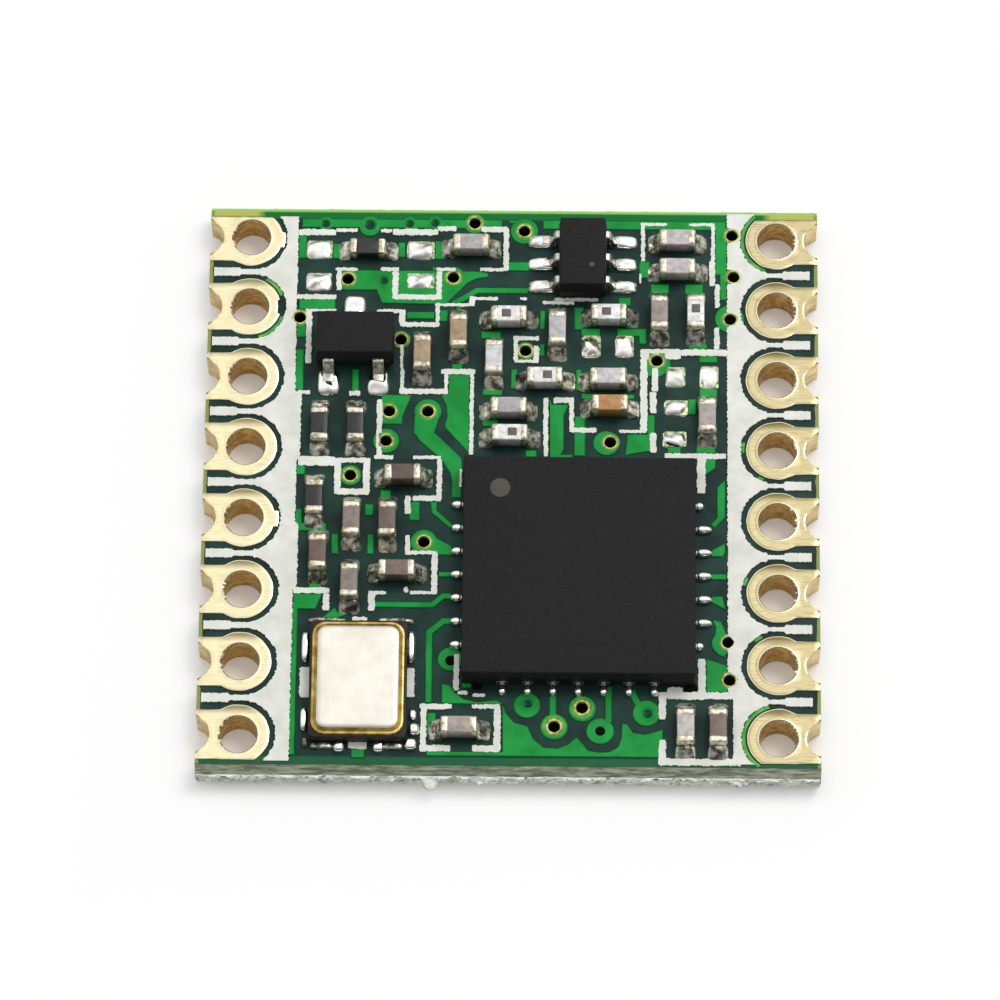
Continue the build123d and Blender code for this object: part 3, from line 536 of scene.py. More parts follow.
copperLook = {
    "high": 0.032, "slope": 0.035,
    "boxes": [  # x from, x to, y from, y to
        (-5.6, -0.3, 7.3, 7.57), (-0.14, 0.44, 7.45, 7.57), (0.76, 5.6, 7.3, 7.57),
        (-5.68, -5.45, 6.4, 7.1), (-4.77, -4.5, 6.4, 6.85), (-3.05, -2.85, 6.45, 6.9),
        (-2.08, -1.8, 6.4, 6.95), (-5.63, -4.66, 4.93, 5.24), (-5.68, -5.4, 4.12, 4.5),
        (-5.68, -5.45, 2.6, 3.8), (-2.8, -2.05, 4.68, 4.9), (-1.93, -1.7, 4.6, 4.95),
        (-1.5, -1.35, 4.86, 5.08), (-1.6, -1.3, 3.2, 3.42), (-0.85, -0.3, 4.12, 4.35),
        (0.7, 0.86, 4.4, 4.96), (1.6, 1.86, 4.4, 5.06), (0.7, 0.86, 3.64, 4.0), (1.78, 2.3, 4.22, 4.46),
        (2.72, 3.45, 4.22, 4.46), (3.3, 3.52, 4.0, 4.46), (2.75, 3.1, 5.1, 5.35), (3.3, 3.6, 5.9, 6.4),
        (3.6, 4.1, 5.45, 5.75), (4.5, 5.0, 5.45, 5.75), (5.3, 5.62, 6.0, 7.4), (5.42, 5.62, 5.28, 6.05),
        (4.6, 5.1, 3.86, 4.05), (4.87, 5.37, 3.48, 3.72), (4.88, 5.37, 2.5, 2.76),
        (4.58, 4.82, 2.0, 2.46), (3.53, 3.74, 0.93, 2.0), (4.05, 4.42, 0.9, 1.1), (4.8, 5.32, 0.9, 1.1),
        (-4.2, -4.0, 2.5, 3.25), (-3.4, -3.1, -0.42, -0.18), (-2.65, -2.35, -1.05, -0.5),
        (-0.78, -0.25, 2.5, 2.7), (-0.78, -0.35, 1.62, 1.84), (0.35, 0.66, 0.76, 0.98),
        (-0.05, 0.14, 2.7, 3.28), (1.62, 1.93, 0.8, 1.95), (1.65, 1.82, 2.66, 3.28),
        (1.8, 2.15, 2.42, 2.6), (2.98, 3.2, 2.42, 2.58), (-5.6, -5.35, 0.22, 0.5),
        (-5.6, -5.4, -1.2, -0.72), (-5.6, -4.77, -1.36, -1.12), (-5.66, -5.5, -2.7, -1.8),
        (-5.2, -4.86, -2.98, -2.76), (-5.62, -5.45, -7.55, -3.4), (-3.8, -3.55, -0.92, -0.58),
        (-4.65, -4.44, -2.0, -1.42), (-3.72, -3.52, -2.0, -1.42), (-1.86, -1.5, -2.62, -2.46),
        (-2.1, -1.85, -6.97, -6.35), (-4.02, -3.66, -7.62, -7.35), (5.2, 5.6, -2.64, -2.46),
        (0.4, 0.58, -6.1, -5.6), (1.03, 1.23, -6.6, -5.6), (2.46, 2.66, -6.6, -5.6),
        (-0.15, 0.42, 6.08, 6.36), (-2.14, -1.96, 6.06, 6.2), (3.3, 3.4, 1.0, 1.45),
        (-2.0, -1.9, -0.8, -0.48),
    ],
    "shapes": [
        [(-4.52, 6.1), (-4.52, 5.5), (-3.9, 5.5), (-3.6, 5.5), (-3.45, 5.12), (-1.75, 5.1),
         (-1.2, 5.72), (-0.95, 5.85), (-0.65, 5.9), (-0.65, 6.02), (-0.87, 6.08)],
        [(-1.68, 3.12), (-1.1, 3.12), (-1.1, 0.85), (-1.77, 1.6), (-1.7, 1.9), (-1.72, 2.2),
         (-1.87, 2.52), (-1.68, 2.56)],
        [(-2.55, 1.9), (-2.57, 1.45), (-2.4, 1.2), (-1.85, 0.7), (-1.6, 0.3), (-1.55, 0.1),
         (-1.55, -0.4), (-1.27, -0.4), (-1.27, 0.6), (-1.3, 0.75), (-2.0, 1.45), (-1.9, 1.8),
         (-2.2, 2.2)],
        [(-3.42, 2.52), (-2.6, 2.52), (-2.84, 1.9), (-2.84, 1.66), (-3.42, 1.66)],
        [(-2.1, -0.5), (-1.9, -0.5), (-1.9, -0.75), (-1.5, -1.12), (-1.38, -1.4), (-2.05, -0.85)],
        [(0.98, 2.45), (1.05, 2.28), (1.5, 2.28), (1.37, 1.95), (1.37, 1.0), (1.28, 0.8), (0.98, 0.8)],
        [(3.0, 1.45), (3.6, 1.45), (3.6, 0.95), (3.1, 0.86), (2.95, 0.8)],
        [(-5.6, -3.1), (-4.82, -3.1), (-5.0, -3.54), (-5.6, -3.54)],
        [(-4.85, -3.78), (-4.5, -3.45), (-4.42, -3.6), (-4.0, -3.6), (-4.4, -3.78)],
        [(-2.5, -1.5), (-2.1, -1.42), (-1.5, -1.74), (-1.5, -2.02), (-2.3, -1.98)],
        [(-1.73, -6.12), (-1.73, -5.55), (-1.5, -5.6), (-1.37, -5.8), (-1.15, -5.97), (-0.8, -6.05),
         (-0.3, -5.98), (-0.1, -6.12)],
        [(-2.1, -7.55), (-2.1, -7.4), (-0.16, -7.4), (-0.16, -6.1), (-0.05, -6.36), (0.15, -6.6),
         (0.5, -6.7), (0.65, -7.05), (0.9, -7.27), (1.25, -7.3), (1.5, -7.2), (1.75, -6.98),
         (1.9, -7.15), (2.05, -7.35), (2.35, -7.4), (2.6, -7.38), (2.8, -7.25), (2.88, -7.0),
         (2.9, -6.6), (3.05, -6.62), (3.2, -6.85), (3.5, -6.9), (3.97, -6.75), (3.97, -7.55)],
        [(5.0, 0.78), (5.32, 0.78), (5.32, 0.5), (5.0, 0.25)],
        [(5.33, -0.05), (5.57, 0.2), (5.57, -0.9), (5.3, -1.2), (5.15, -1.1), (5.33, -0.9)],
        [(5.2, -1.8), (5.57, -1.58), (5.57, -1.85), (5.5, -2.0), (5.2, -2.0)],
        [(5.2, -3.08), (5.5, -3.08), (5.57, -3.48), (5.2, -3.28)],
        [(5.2, -3.72), (5.45, -3.78), (5.57, -4.05), (5.57, -4.8), (5.35, -4.72), (5.23, -4.4),
         (5.3, -3.95)],
        [(5.05, -4.8), (5.62, -5.0), (5.62, -5.75), (5.05, -5.75)],
        [(3.5, 3.75), (4.15, 3.75), (4.15, 3.3), (3.9, 3.08), (3.5, 3.08)],
        [(0.98, 0.5), (1.6, 0.5), (1.6, 0.86), (0.98, 0.86)],
    ],
    "runs": [  # width, then the corners
        (0.19, [(0.4, 5.52), (-0.95, 5.52), (-1.25, 5.32), (-1.6, 5.12)]),
        (0.2, [(-2.06, -6.1), (-2.06, -4.15), (-1.7, -3.84), (-1.5, -3.84)]),
        (0.18, [(-3.48, -3.39), (-2.0, -3.39), (-1.72, -3.14), (-1.5, -3.14)]),
        (0.2, [(0.28, 7.2), (0.55, 6.98)]),
        (0.2, [(3.14, -5.7), (3.3, -6.05), (3.54, -6.3)]),
        (0.16, [(-0.8, -5.58), (-1.2, -5.6)]),
    ],
    "rounds": [  # x, y, radius
        (-3.8, 7.36, 0.3), (-1.03, 7.44, 0.3), (0.28, 7.24, 0.38), (-4.35, 5.84, 0.34),
        (-1.58, 5.88, 0.34), (5.68, 4.75, 0.4), (-3.2, 2.04, 0.37), (-3.27, 1.2, 0.36),
        (-2.19, 2.04, 0.37), (2.47, 1.18, 0.36), (-4.18, 0.22, 0.3), (-2.24, -1.64, 0.36),
        (3.78, 3.53, 0.34), (0.47, -6.14, 0.36), (1.17, -6.72, 0.37), (1.89, -6.22, 0.37),
        (2.35, -6.83, 0.37), (3.53, -6.33, 0.37), (-1.51, -4.89, 0.34), (0.34, 3.79, 0.26),
        (5.5, -4.4, 0.32), (-3.14, 2.16, 0.3), (-2.93, 4.08, 0.24),
    ],
    "limeFrom": 0.86, "limeTo": 0.945,
    "limeArcs": [  # side, row, from, to, in degrees
        (1, 0, 128, 250), (1, 7, 106, 236), (-1, 1, -74, -18), (-1, 1, 22, 62), (1, 3, 166, 184),
        (1, 6, 118, 132), (1, 5, 152, 166), (1, 3, 236, 246),
    ],
}


def plate(corners, low, high, slope):
    # an outline twice at its foot and once at the top, where it is drawn in along the corners' bisectors,
    # with one flat face above and one below
    outline = np.array(corners, float)
    if np.sum(outline[:, 0] * np.roll(outline[:, 1], -1) - np.roll(outline[:, 0], -1) * outline[:, 1]) < 0:
        outline = outline[::-1]
    ahead = np.roll(outline, -1, 0) - outline
    ahead /= np.linalg.norm(ahead, axis=1)[:, None]
    behind = np.roll(ahead, 1, 0)
    inward = np.column_stack((-ahead[:, 1], ahead[:, 0])) + np.column_stack((-behind[:, 1], behind[:, 0]))
    inward /= np.maximum(np.sum(inward * inward, 1) / 2, 0.35)[:, None]
    rows = [(0.0, low), (0.0, low + 0.2 * (high - low)), (slope, high)]
    loops = np.stack([np.column_stack((outline + inset * inward, np.full(len(outline), level)))
                      for inset, level in rows])
    points, faces = skin(loops, False)
    count = len(outline)
    faces.append(list(range(2 * count, 3 * count)))
    faces.append(list(range(count - 1, -1, -1)))
    return points, faces


def ribbonCorners(width, route):
    # the two sides of a run, offset along the bisectors of its corners, as one outline
    line = np.array(route, float)
    step = np.diff(line, axis=0)
    step /= np.linalg.norm(step, axis=1)[:, None]
    sideways = np.column_stack((-step[:, 1], step[:, 0]))
    bisector = np.vstack((sideways[:1], sideways[:-1] + sideways[1:], sideways[-1:]))
    bisector /= (np.sum(bisector * np.vstack((sideways, sideways[-1:])), 1))[:, None]
    return np.vstack((line + bisector * width / 2, (line - bisector * width / 2)[::-1]))


def circleCorners(x, y, radius, count=28):  # cosine and sine at equal angles
    turn = np.linspace(0, 2 * np.pi, count, endpoint=False)
    return np.column_stack((x + radius * np.cos(turn), y + radius * np.sin(turn)))


def turned(x, y, profile, count=26):  # a profile of (radius, height) pairs carried round a circle
    turn = np.linspace(0, 2 * np.pi, count, endpoint=False)
    cosine, sine = np.cos(turn), np.sin(turn)
    return np.stack([np.column_stack((x + radius * cosine, y + radius * sine, np.full(count, level)))
                     for radius, level in profile])


def arcStrip(centre, inner, outer, start, end):
    # a flat strip along an arc; the angles are in degrees from +X
    turn = np.radians(np.linspace(start, end, 40))
    low, high = boardTop + 0.001, boardTop + 0.02
    section = ((inner, low), (inner, high), (outer, high), (outer, low))
    loops = np.stack([np.column_stack((centre[0] + radius * np.cos(turn), centre[1] + radius * np.sin(turn),
                                       np.full(len(turn), level))) for radius, level in section], 1)
    return skin(loops)


def looseObject(name, points, faces):  # only for the cut of the holes, and removed after it
    mesh = bpy.data.meshes.new(name)
    mesh.from_pydata(np.asarray(points), [], faces)
    return newObject(name, mesh)


def drilled(points, faces, drill):
    # the same closed skin with the drill's rods taken out of it
    work = looseObject("drilled_copper", points, faces)
    cut = work.modifiers.new("holes", "BOOLEAN")
    cut.object = drill
    cut.operation = "DIFFERENCE"
    cut.solver = "EXACT"
    bpy.context.view_layer.update()
    mesh = work.evaluated_get(bpy.context.evaluated_depsgraph_get()).data
    found = np.zeros(3 * len(mesh.vertices))
    mesh.vertices.foreach_get("co", found)
    foundFaces = [list(polygon.vertices) for polygon in mesh.polygons]
    bpy.data.objects.remove(work)
    return found.reshape(-1, 3), foundFaces


def reaches(points, x, y, radius):  # whether the points' box comes within radius of a place
    low, high = points.min(0) - radius, points.max(0) + radius
    return low[0] < x < high[0] and low[1] < y < high[1]


def makeCopper(look):
    # each outline as a plate, with the holes cut out of those that come near one, then the lime arcs
    holes = [(x, y, viaLook["drill"]) for x, y in viaLook["open"]] + viaLook["dark"]
    holes += [(x, y, 1.15 * radius) for x, y, radius in viaLook["tented"]]
    ends = (boardTop - 0.05, boardTop + 0.1)
    rods = [skin(turned(x, y, [(radius, level) for level in ends])) for x, y, radius in holes]
    drill = looseObject("drill", *joinSkins(rods))
    outlines = [[(x0, y0), (x1, y0), (x1, y1), (x0, y1)] for x0, x1, y0, y1 in look["boxes"]]
    outlines += look["shapes"]
    outlines += [ribbonCorners(width, route) for width, route in look["runs"]]
    outlines += [circleCorners(*place) for place in look["rounds"]]
    chunks = []
    for number, corners in enumerate(outlines):
        lift = 0.00004 * number  # a hair apart, so that no two faces lie in one plane
        points, faces = plate(corners, boardTop, boardTop + look["high"] - lift, look["slope"])
        if any(reaches(points, *hole) for hole in holes):
            points, faces = drilled(points, faces, drill)
        chunks.append((points, faces, finish["copper"]))
    bpy.data.objects.remove(drill)
    for side, row, start, end in look["limeArcs"]:
        centre = (side * (boardHalf - edge["holeInset"]), rowPlaces[row])
        chunks.append((*arcStrip(centre, look["limeFrom"], look["limeTo"], start, end), finish["lime"]))
    makePiece("mask_over_copper", chunks, ("copper_traces",), 20.0)


makeCopper(copperLook)
print("copper ready")


# White legend ink

inkLook = {
    "high": 0.05, "ragged": 0.018, "step": 0.045, "bandStep": 0.04, "bandRagged": 0.028, "padGap": 0.96,
    "stripFrom": 6.35, "neckFrom": 6.65, "stripHalf": 0.12,
    "neckHalf": {-1: 0.075, 1: 0.06}, "neckEnd": {-1: 7.2, 1: 7.1},
    "stripEnd": {-1: 7.9, 1: 7.8},  # -1 on the left, 1 on the right
    "leftEdge": [
        (7.62, -5.68), (5.4, -5.68), (2.6, -5.67), (2.5, -5.5), (0.75, -5.5), (0.6, -5.59), (-1.1, -5.59),
        (-1.2, -5.5), (-2.9, -5.5), (-3.0, -5.6), (-7.71, -5.6),
    ],
    "rightEdge": [
        (7.8, 5.62), (-5.79, 5.62), (-5.8, 5.8), (-7.55, 5.8), (-7.56, 5.62), (-7.71, 5.62),
    ],
    "notches": [
        (-5.59, 4.7, 0.2), (5.75, 7.15, 0.2), (5.79, 5.95, 0.2), (5.7, 4.73, 0.2), (5.66, -5.41, 0.2),
        (5.63, -4.37, 0.15),
    ],
    "lines": [  # x from, x to, y from, y to
        (-5.68, -4.7, 7.08, 7.25), (-4.7, -4.12, 7.18, 7.28), (-3.5, -3.2, 7.17, 7.27),
        (-3.2, -2.0, 7.1, 7.27), (-2.0, -1.5, 7.22, 7.36), (-0.85, -0.15, 7.2, 7.36),
        (-0.27, -0.13, 6.08, 7.3), (-0.87, -0.2, 6.07, 6.16), (-4.67, -4.1, 6.05, 6.14),
        (-4.65, -4.52, 5.5, 6.05), (-3.5, -3.02, 6.05, 6.15), (-3.18, -3.02, 5.25, 6.05),
        (-3.15, -1.88, 5.23, 5.38), (-2.02, -1.88, 5.25, 6.05), (-2.02, -1.5, 6.07, 6.16),
        (-5.68, -4.66, 5.22, 5.36), (-5.45, -4.65, 4.88, 4.94), (-5.42, -5.27, 3.4, 4.9),
        (-3.57, -2.82, 4.84, 4.94), (-2.98, -2.82, 4.5, 4.9), (-2.95, -1.93, 4.45, 4.58),
        (-2.03, -1.93, 4.45, 5.12), (-2.03, -1.0, 5.05, 5.13), (-1.15, -1.0, 5.1, 5.33),
        (-1.05, -0.4, 5.23, 5.32), (-2.94, -2.86, 3.25, 3.95), (0.2, 0.38, 5.24, 5.32),
        (0.78, 1.62, 5.13, 5.22), (1.1, 2.22, 5.23, 5.31), (0.02, 0.68, 4.08, 4.2),
        (0.03, 0.14, 3.5, 4.15), (0.55, 0.7, 3.47, 3.92), (0.05, 0.7, 3.45, 3.53),
        (3.35, 4.03, 7.42, 7.5), (3.36, 3.46, 6.4, 7.45), (3.31, 3.37, 5.75, 6.03),
        (4.63, 5.3, 7.42, 7.5), (5.2, 5.3, 6.4, 7.45), (5.15, 5.3, 5.7, 6.4), (5.3, 5.42, 5.08, 5.72),
        (5.28, 5.42, 3.85, 4.5), (3.35, 3.58, 3.57, 3.86), (3.5, 4.1, 3.73, 3.86),
        (3.98, 4.4, 3.57, 3.86), (4.4, 5.62, 3.68, 3.86), (3.35, 3.53, 1.48, 3.6), (2.8, 3.5, 1.47, 1.55),
        (3.65, 3.81, 2.65, 3.3), (3.6, 3.77, 2.02, 2.65), (3.6, 3.77, 0.93, 1.46),
        (-1.88, -0.97, 3.1, 3.25), (-1.78, -1.68, 2.53, 3.15), (-2.93, -1.68, 2.53, 2.68),
        (-2.93, -2.83, 2.55, 3.25), (-1.1, -1.0, 0.8, 3.1), (-5.6, -5.28, 2.5, 2.6),
        (-4.27, -3.98, 2.47, 2.6), (-3.52, -3.38, 1.42, 2.35), (-3.53, -3.46, 1.0, 1.46),
        (-3.52, -3.38, 0.7, 1.02), (-3.55, -3.08, 0.67, 0.78), (-5.55, -4.6, 0.48, 0.74),
        (-4.6, -3.67, 0.57, 0.7), (-4.6, -3.67, -0.33, -0.17), (-4.6, -4.43, -0.3, 0.65),
        (-3.85, -3.67, -0.3, 0.65), (-2.57, -1.85, 0.68, 0.78), (-1.93, -1.8, -0.5, 0.7),
        (-2.55, -1.83, -0.5, -0.35), (-2.75, -2.6, -0.87, -0.35), (-1.34, -1.28, -0.12, 0.4),
        (-2.72, -2.6, -2.0, -1.45), (-2.72, -1.88, -2.0, -1.9), (-2.03, -1.88, -3.1, -1.95),
        (-2.6, -1.87, -3.1, -3.02), (-2.73, -2.62, -3.05, -2.9), (-3.65, -3.2, -3.12, -3.03),
        (-3.65, -3.48, -3.57, -3.05), (-5.6, -4.65, -3.1, -2.94), (-4.82, -4.65, -3.57, -3.1),
        (-5.37, -5.1, -5.97, -5.15), (-2.62, -2.42, -5.95, -5.15), (-4.05, -3.67, -3.85, -3.75),
        (-4.07, -3.62, -7.37, -7.15), (-2.28, -1.47, -6.27, -6.13), (-2.25, -2.1, -7.42, -6.15),
        (-2.25, -1.47, -7.42, -7.25), (-0.92, -0.2, -6.25, -6.13), (-0.37, -0.2, -7.43, -6.15),
        (-0.93, -0.2, -7.43, -7.25), (0.83, 0.95, 0.8, 2.45), (1.07, 1.62, 2.3, 2.46),
        (1.5, 1.62, 1.5, 2.4), (1.55, 2.2, 1.47, 1.6), (-1.42, -1.28, -5.75, -4.75),
        (4.0, 5.6, 0.75, 0.9), (4.83, 5.05, -0.2, 0.77), (4.86, 5.05, -5.9, -4.82),
        (4.05, 4.45, -5.93, -5.62), (4.4, 5.05, -5.95, -5.86), (-1.32, -1.06, -5.86, -5.76),
        (-0.92, -0.6, -5.92, -5.83), (3.85, 5.95, -7.75, -7.57), (3.85, 5.95, -5.93, -5.75),
        (5.75, 5.95, -7.7, -5.8), (3.85, 4.03, -6.5, -5.8), (3.85, 4.03, -7.7, -7.05),
    ],
}


def inkSheet(leftSide, rightSide, high):
    # stations along a stroke, each a flat section between its two sides
    low = boardTop + 0.001
    section = [np.column_stack((side, np.full(len(side), level)))
               for side, level in ((leftSide, low), (leftSide, high), (rightSide, high), (rightSide, low))]
    return skin(np.stack(section, 1))


def inkStroke(x0, x1, y0, y1, high, random):
    # a straight stroke whose two sides and ends wander a little
    flat = (x1 - x0) >= (y1 - y0)
    length, width = ((x1 - x0), (y1 - y0)) if flat else ((y1 - y0), (x1 - x0))
    count = max(int(length / inkLook["step"]) + 1, 4)
    along = np.linspace(0, length, count)
    along[0] += random.uniform(-0.02, 0.02)
    along[-1] += random.uniform(-0.02, 0.02)
    wander = min(inkLook["ragged"], 0.18 * width)
    below = random.uniform(-wander, wander, count)
    above = width + random.uniform(-wander, wander, count)
    below[[0, -1]] += 0.12 * width
    above[[0, -1]] -= 0.12 * width
    first, second = np.column_stack((along, below)), np.column_stack((along, above))
    if not flat:
        first, second = first[:, ::-1], second[:, ::-1]
    return inkSheet(first + (x0, y0), second + (x0, y0), high)


def makeInk(look):
    # the two side bands, from their inner edge to a gap round each pad, then the strips and the strokes
    random = np.random.default_rng(11)
    high = boardTop + look["high"]
    chunks = []
    for side, inner in ((-1, look["leftEdge"]), (1, look["rightEdge"])):
        top, bottom = inner[0][0], inner[-1][0]
        y = np.arange(bottom, top, look["bandStep"])
        knots = np.array(inner[::-1])
        innerX = np.interp(y, knots[:, 0], knots[:, 1])
        for cutX, cutY, radius in look["notches"]:
            if cutX * side > 0:
                inside = np.abs(y - cutY) < radius
                cut = cutX + side * np.sqrt(np.maximum(radius ** 2 - (y - cutY) ** 2, 0))
                innerX = np.where(inside, side * np.maximum(side * innerX, side * cut), innerX)
        nearest = np.min(np.abs(y[:, None] - np.array(rowPlaces)[None, :]), 1)
        reach = np.sqrt(np.maximum(look["padGap"] ** 2 - nearest ** 2, 0.4 ** 2))
        outerX = side * (boardHalf - edge["holeInset"] - reach)
        ragged = random.uniform(-1, 1, (2, len(y))) * np.array([[0.7], [1.0]]) * look["bandRagged"]
        innerSide = np.column_stack((innerX + ragged[0], y))
        outerSide = np.column_stack((outerX + ragged[1], y))
        chunks.append((*inkSheet(innerSide, outerSide, high), finish["ink"]))
        for row in range(edge["rows"] - 1):  # the strips between the pads, with a thinner neck
            middle = rowPlaces[row] - edge["pitch"] / 2
            x = np.arange(look["stripFrom"], look["stripEnd"][side], look["step"])
            neck = (x > look["neckFrom"]) & (x < look["neckEnd"][side])
            half = np.where(neck, look["neckHalf"][side], look["stripHalf"])
            half = half + random.uniform(-1, 1, len(x)) * 0.012
            below = np.column_stack((side * x, middle - half))
            above = np.column_stack((side * x, middle + half))
            chunks.append((*inkSheet(below, above, high - 0.001), finish["ink"]))
    for number, line in enumerate(look["lines"]):
        chunks.append((*inkStroke(*line, high - 0.002 - 0.00003 * number, random), finish["ink"]))
    makePiece("legend_ink", chunks, ("white_print",), 30.0)


makeInk(inkLook)
print("ink ready")


# Vias

def makeVias(look):
    # profiles turned round each via's middle: the wall, painted near-black as shade inside the hole, the
    # gold collar round its mouth, a lime halo
    chunks = []
    for x, y in look["open"]:
        ring = look["wideRing"] if (x, y) in look["wide"] else look["ring"]
        wall = look["wall"]
        high = boardTop + 0.046
        profile = [(wall, boardBottom), (wall - 0.012, boardBottom + 0.1), (wall - 0.012, boardTop - 0.03),
                   (wall + 0.004, boardTop + 0.001), (wall + 0.004, boardBottom)]
        chunks.append((*skin(turned(x, y, profile), joined=True), finish["viaWall"]))
        collar = [(wall - 0.012, boardTop - 0.04), (wall, high), (ring - 0.02, high), (ring, high - 0.02),
                  (ring, boardTop + 0.001), (wall, boardTop + 0.001)]
        chunks.append((*skin(turned(x, y, collar), joined=True), finish["ring"]))
        reach = look["halo"] if (x, y) in look["wide"] else ring + look["haloWidth"]
        halo = [(ring, boardTop + 0.002), (ring, boardTop + 0.04), (reach, boardTop + 0.034),
                (reach, boardTop + 0.002)]
        chunks.append((*skin(turned(x, y, halo), joined=True), finish["lime"]))
    makePiece("via_plating", chunks, (), 30.0)
    chunks = []
    for x, y, radius in look["tented"]:  # a plug of mask that sags into the hole, with a low ring round it
        base = boardTop + copperLook["high"]
        profile = [(radius * 1.5, boardTop + 0.002), (radius * 1.45, base + 0.001),
                   (radius * 1.2, base + 0.012), (radius, base), (radius * 0.75, boardTop + 0.01),
                   (radius * 0.3, boardTop + 0.003)]
        chunks.append((*skin(turned(x, y, profile)), finish["copper"]))
    # a flat near-black disc over each of these holes: painted shade for the hole
    for x, y, radius in look["dark"]:
        profile = [(radius, boardTop + 0.03), (radius * 0.97, boardTop + 0.004),
                   (radius * 0.3, boardTop + 0.002)]
        chunks.append((*skin(turned(x, y, profile)), finish["dark"]))
    makePiece("tented_vias", chunks, (), 30.0)


makeVias(viaLook)
print("vias ready")


# Chip parts

chipLook = {
    "endLength": 0.22, "short": 0.05, "narrow": 0.03, "bodyInset": 0.014, "bodyShort": 0.06,
    "corner": 0.03, "endCorner": 0.07, "endFoot": 0.03, "endTop": 0.075, "uneven": 0.006,
    "markSize": 0.24, "markOffset": 0.07,
    "resistor": (34, 32, 32), "inductor": (232, 232, 228),
    "markSide": [1, -1, -1, 1, 1],  # towards plus or minus along each inductor
    "capacitors": [
        (176, 172, 170), (190, 184, 184), (192, 184, 184), (150, 138, 132), (184, 182, 178),
        (166, 140, 108), (168, 144, 110), (208, 208, 208), (200, 200, 200), (178, 132, 72),
        (166, 164, 166), (166, 156, 152), (92, 76, 66), (130, 118, 110), (104, 88, 78), (104, 84, 74),
        (116, 98, 88), (134, 122, 110), (168, 158, 148), (192, 188, 182), (118, 100, 88),
    ],
}


# the dark foot is painted shade where the part meets the board
def chipMaterial(name, colour, gloss):  # the part's own tone in two close shades, and dark at its foot
    dark = tuple(int(value * 0.9) for value in colour)
    light = tuple(min(int(value * 1.08), 255) for value in colour)
    foot = tuple(int(value * 0.26) for value in colour)
    return mottled(name, dark, light, 0.16, (gloss, gloss + 0.12), 0.0, 0.05, 0.003, foot=(foot, 0.44))


def makeChipPart(nodeName, bodyMaterial, markSide=0):
    # rounded rectangles stacked from the seat up: a body between two metal ends, which are a little uneven
    middle, size = boxOf(nodeName)
    upright = size[1] > size[0]
    turn = 90 if upright else 0
    length, width = (size[1], size[0]) if upright else (size[0], size[1])
    length, width = length - chipLook["short"], width - chipLook["narrow"]
    low, high = footAndTop(middle, size)
    inset = chipLook["bodyInset"]
    seed = abs(hash(round(middle[0] * 31 + middle[1] * 7, 3))) % 1000  # each place has its own
    core = stacked(length - chipLook["bodyShort"], width - 2 * inset, chipLook["corner"],
                   roundedLevels(low + inset, high - inset, 0.02, 0.03))
    chunks = [(*skin(placed(core, middle, turn)), bodyMaterial)]
    levels = roundedLevels(low, high, chipLook["endFoot"], chipLook["endTop"], 5)
    ends = stacked(chipLook["endLength"], width, chipLook["endCorner"], levels)
    for way in (-1, 1):
        bumps = np.stack([wobble(ends[..., 1] + way, ends[..., 2], seed + axis, 0.2)
                          for axis in range(3)], -1)
        shaped = ends + chipLook["uneven"] * bumps
        shaped[..., 0] += way * (length - chipLook["endLength"]) / 2
        chunks.append((*skin(placed(shaped, middle, turn)), finish["cap"]))
    if markSide:
        markSize, glaze = chipLook["markSize"], high - inset
        levels = [(high - 0.03, 0), (glaze + 0.004, 0), (glaze + 0.006, 0.01)]
        mark = stacked(markSize, markSize * 0.92, 0.02, levels)
        mark[..., 0] += markSide * chipLook["markOffset"]
        chunks.append((*skin(placed(mark, middle, turn)), finish["markInk"]))
    makePiece(nodeName + "_dressed", chunks, (nodeName,), 35.0)


resistorBody = chipMaterial("resistor_glaze", chipLook["resistor"], 0.25)
inductorBody = chipMaterial("inductor_glaze", chipLook["inductor"], 0.3)
for number in range(1, 5):
    makeChipPart(f"resistor_{number}", resistorBody)
for number, markSide in enumerate(chipLook["markSide"], start=1):
    makeChipPart(f"inductor_{number}", inductorBody, markSide)
for number, colour in enumerate(chipLook["capacitors"], start=1):
    ceramic = chipMaterial(f"capacitor_ceramic_{number}", colour, 0.38)
    makeChipPart(f"capacitor_{number}", ceramic)
print("chip parts ready")


# Solder

solderLook = {
    "reach": 0.28, "inside": 0.08, "climb": 0.62, "width": 0.54, "ripple": 0.014,  # a chip part's joint
    "landHigh": 0.036, "landShift": 0.02, "domeHigh": 0.1,  # a bare land
    "bareLands": [  # x, y, size along X, size along Y
        (-5.12, 6.66, 0.7, 0.54), (-2.45, 6.66, 0.74, 0.54), (-5.12, 5.73, 0.68, 0.52),
        (-2.45, 5.77, 0.74, 0.46), (2.06, 3.93, 0.5, 0.64), (2.92, 3.93, 0.5, 0.64),
        (4.26, 3.07, 0.52, 0.58), (5.14, 3.06, 0.5, 0.66), (4.28, 2.19, 0.62, 0.46),
        (4.24, 1.3, 0.62, 0.46),
    ],
    "crystalMounds": [  # x, y, size along X, size along Y, height
        (-5.24, -4.6, 0.22, 0.86, 0.2), (-5.24, -6.6, 0.2, 0.66, 0.2), (-2.52, -4.58, 0.24, 0.9, 0.2),
        (-4.7, -3.86, 1.0, 0.16, 0.12), (-2.94, -3.86, 0.96, 0.16, 0.12), (-4.33, -7.33, 0.3, 0.32, 0.2),
        (-3.32, -7.33, 0.3, 0.32, 0.2), (-2.45, -6.45, 0.2, 0.3, 0.16), (-2.42, -6.85, 0.3, 0.34, 0.2),
        (-2.5, -7.26, 0.32, 0.32, 0.2), (-4.78, -7.3, 0.62, 0.18, 0.12), (-2.94, -7.3, 0.5, 0.18, 0.12),
        (-5.2, -7.22, 0.16, 0.26, 0.12),
    ],
}


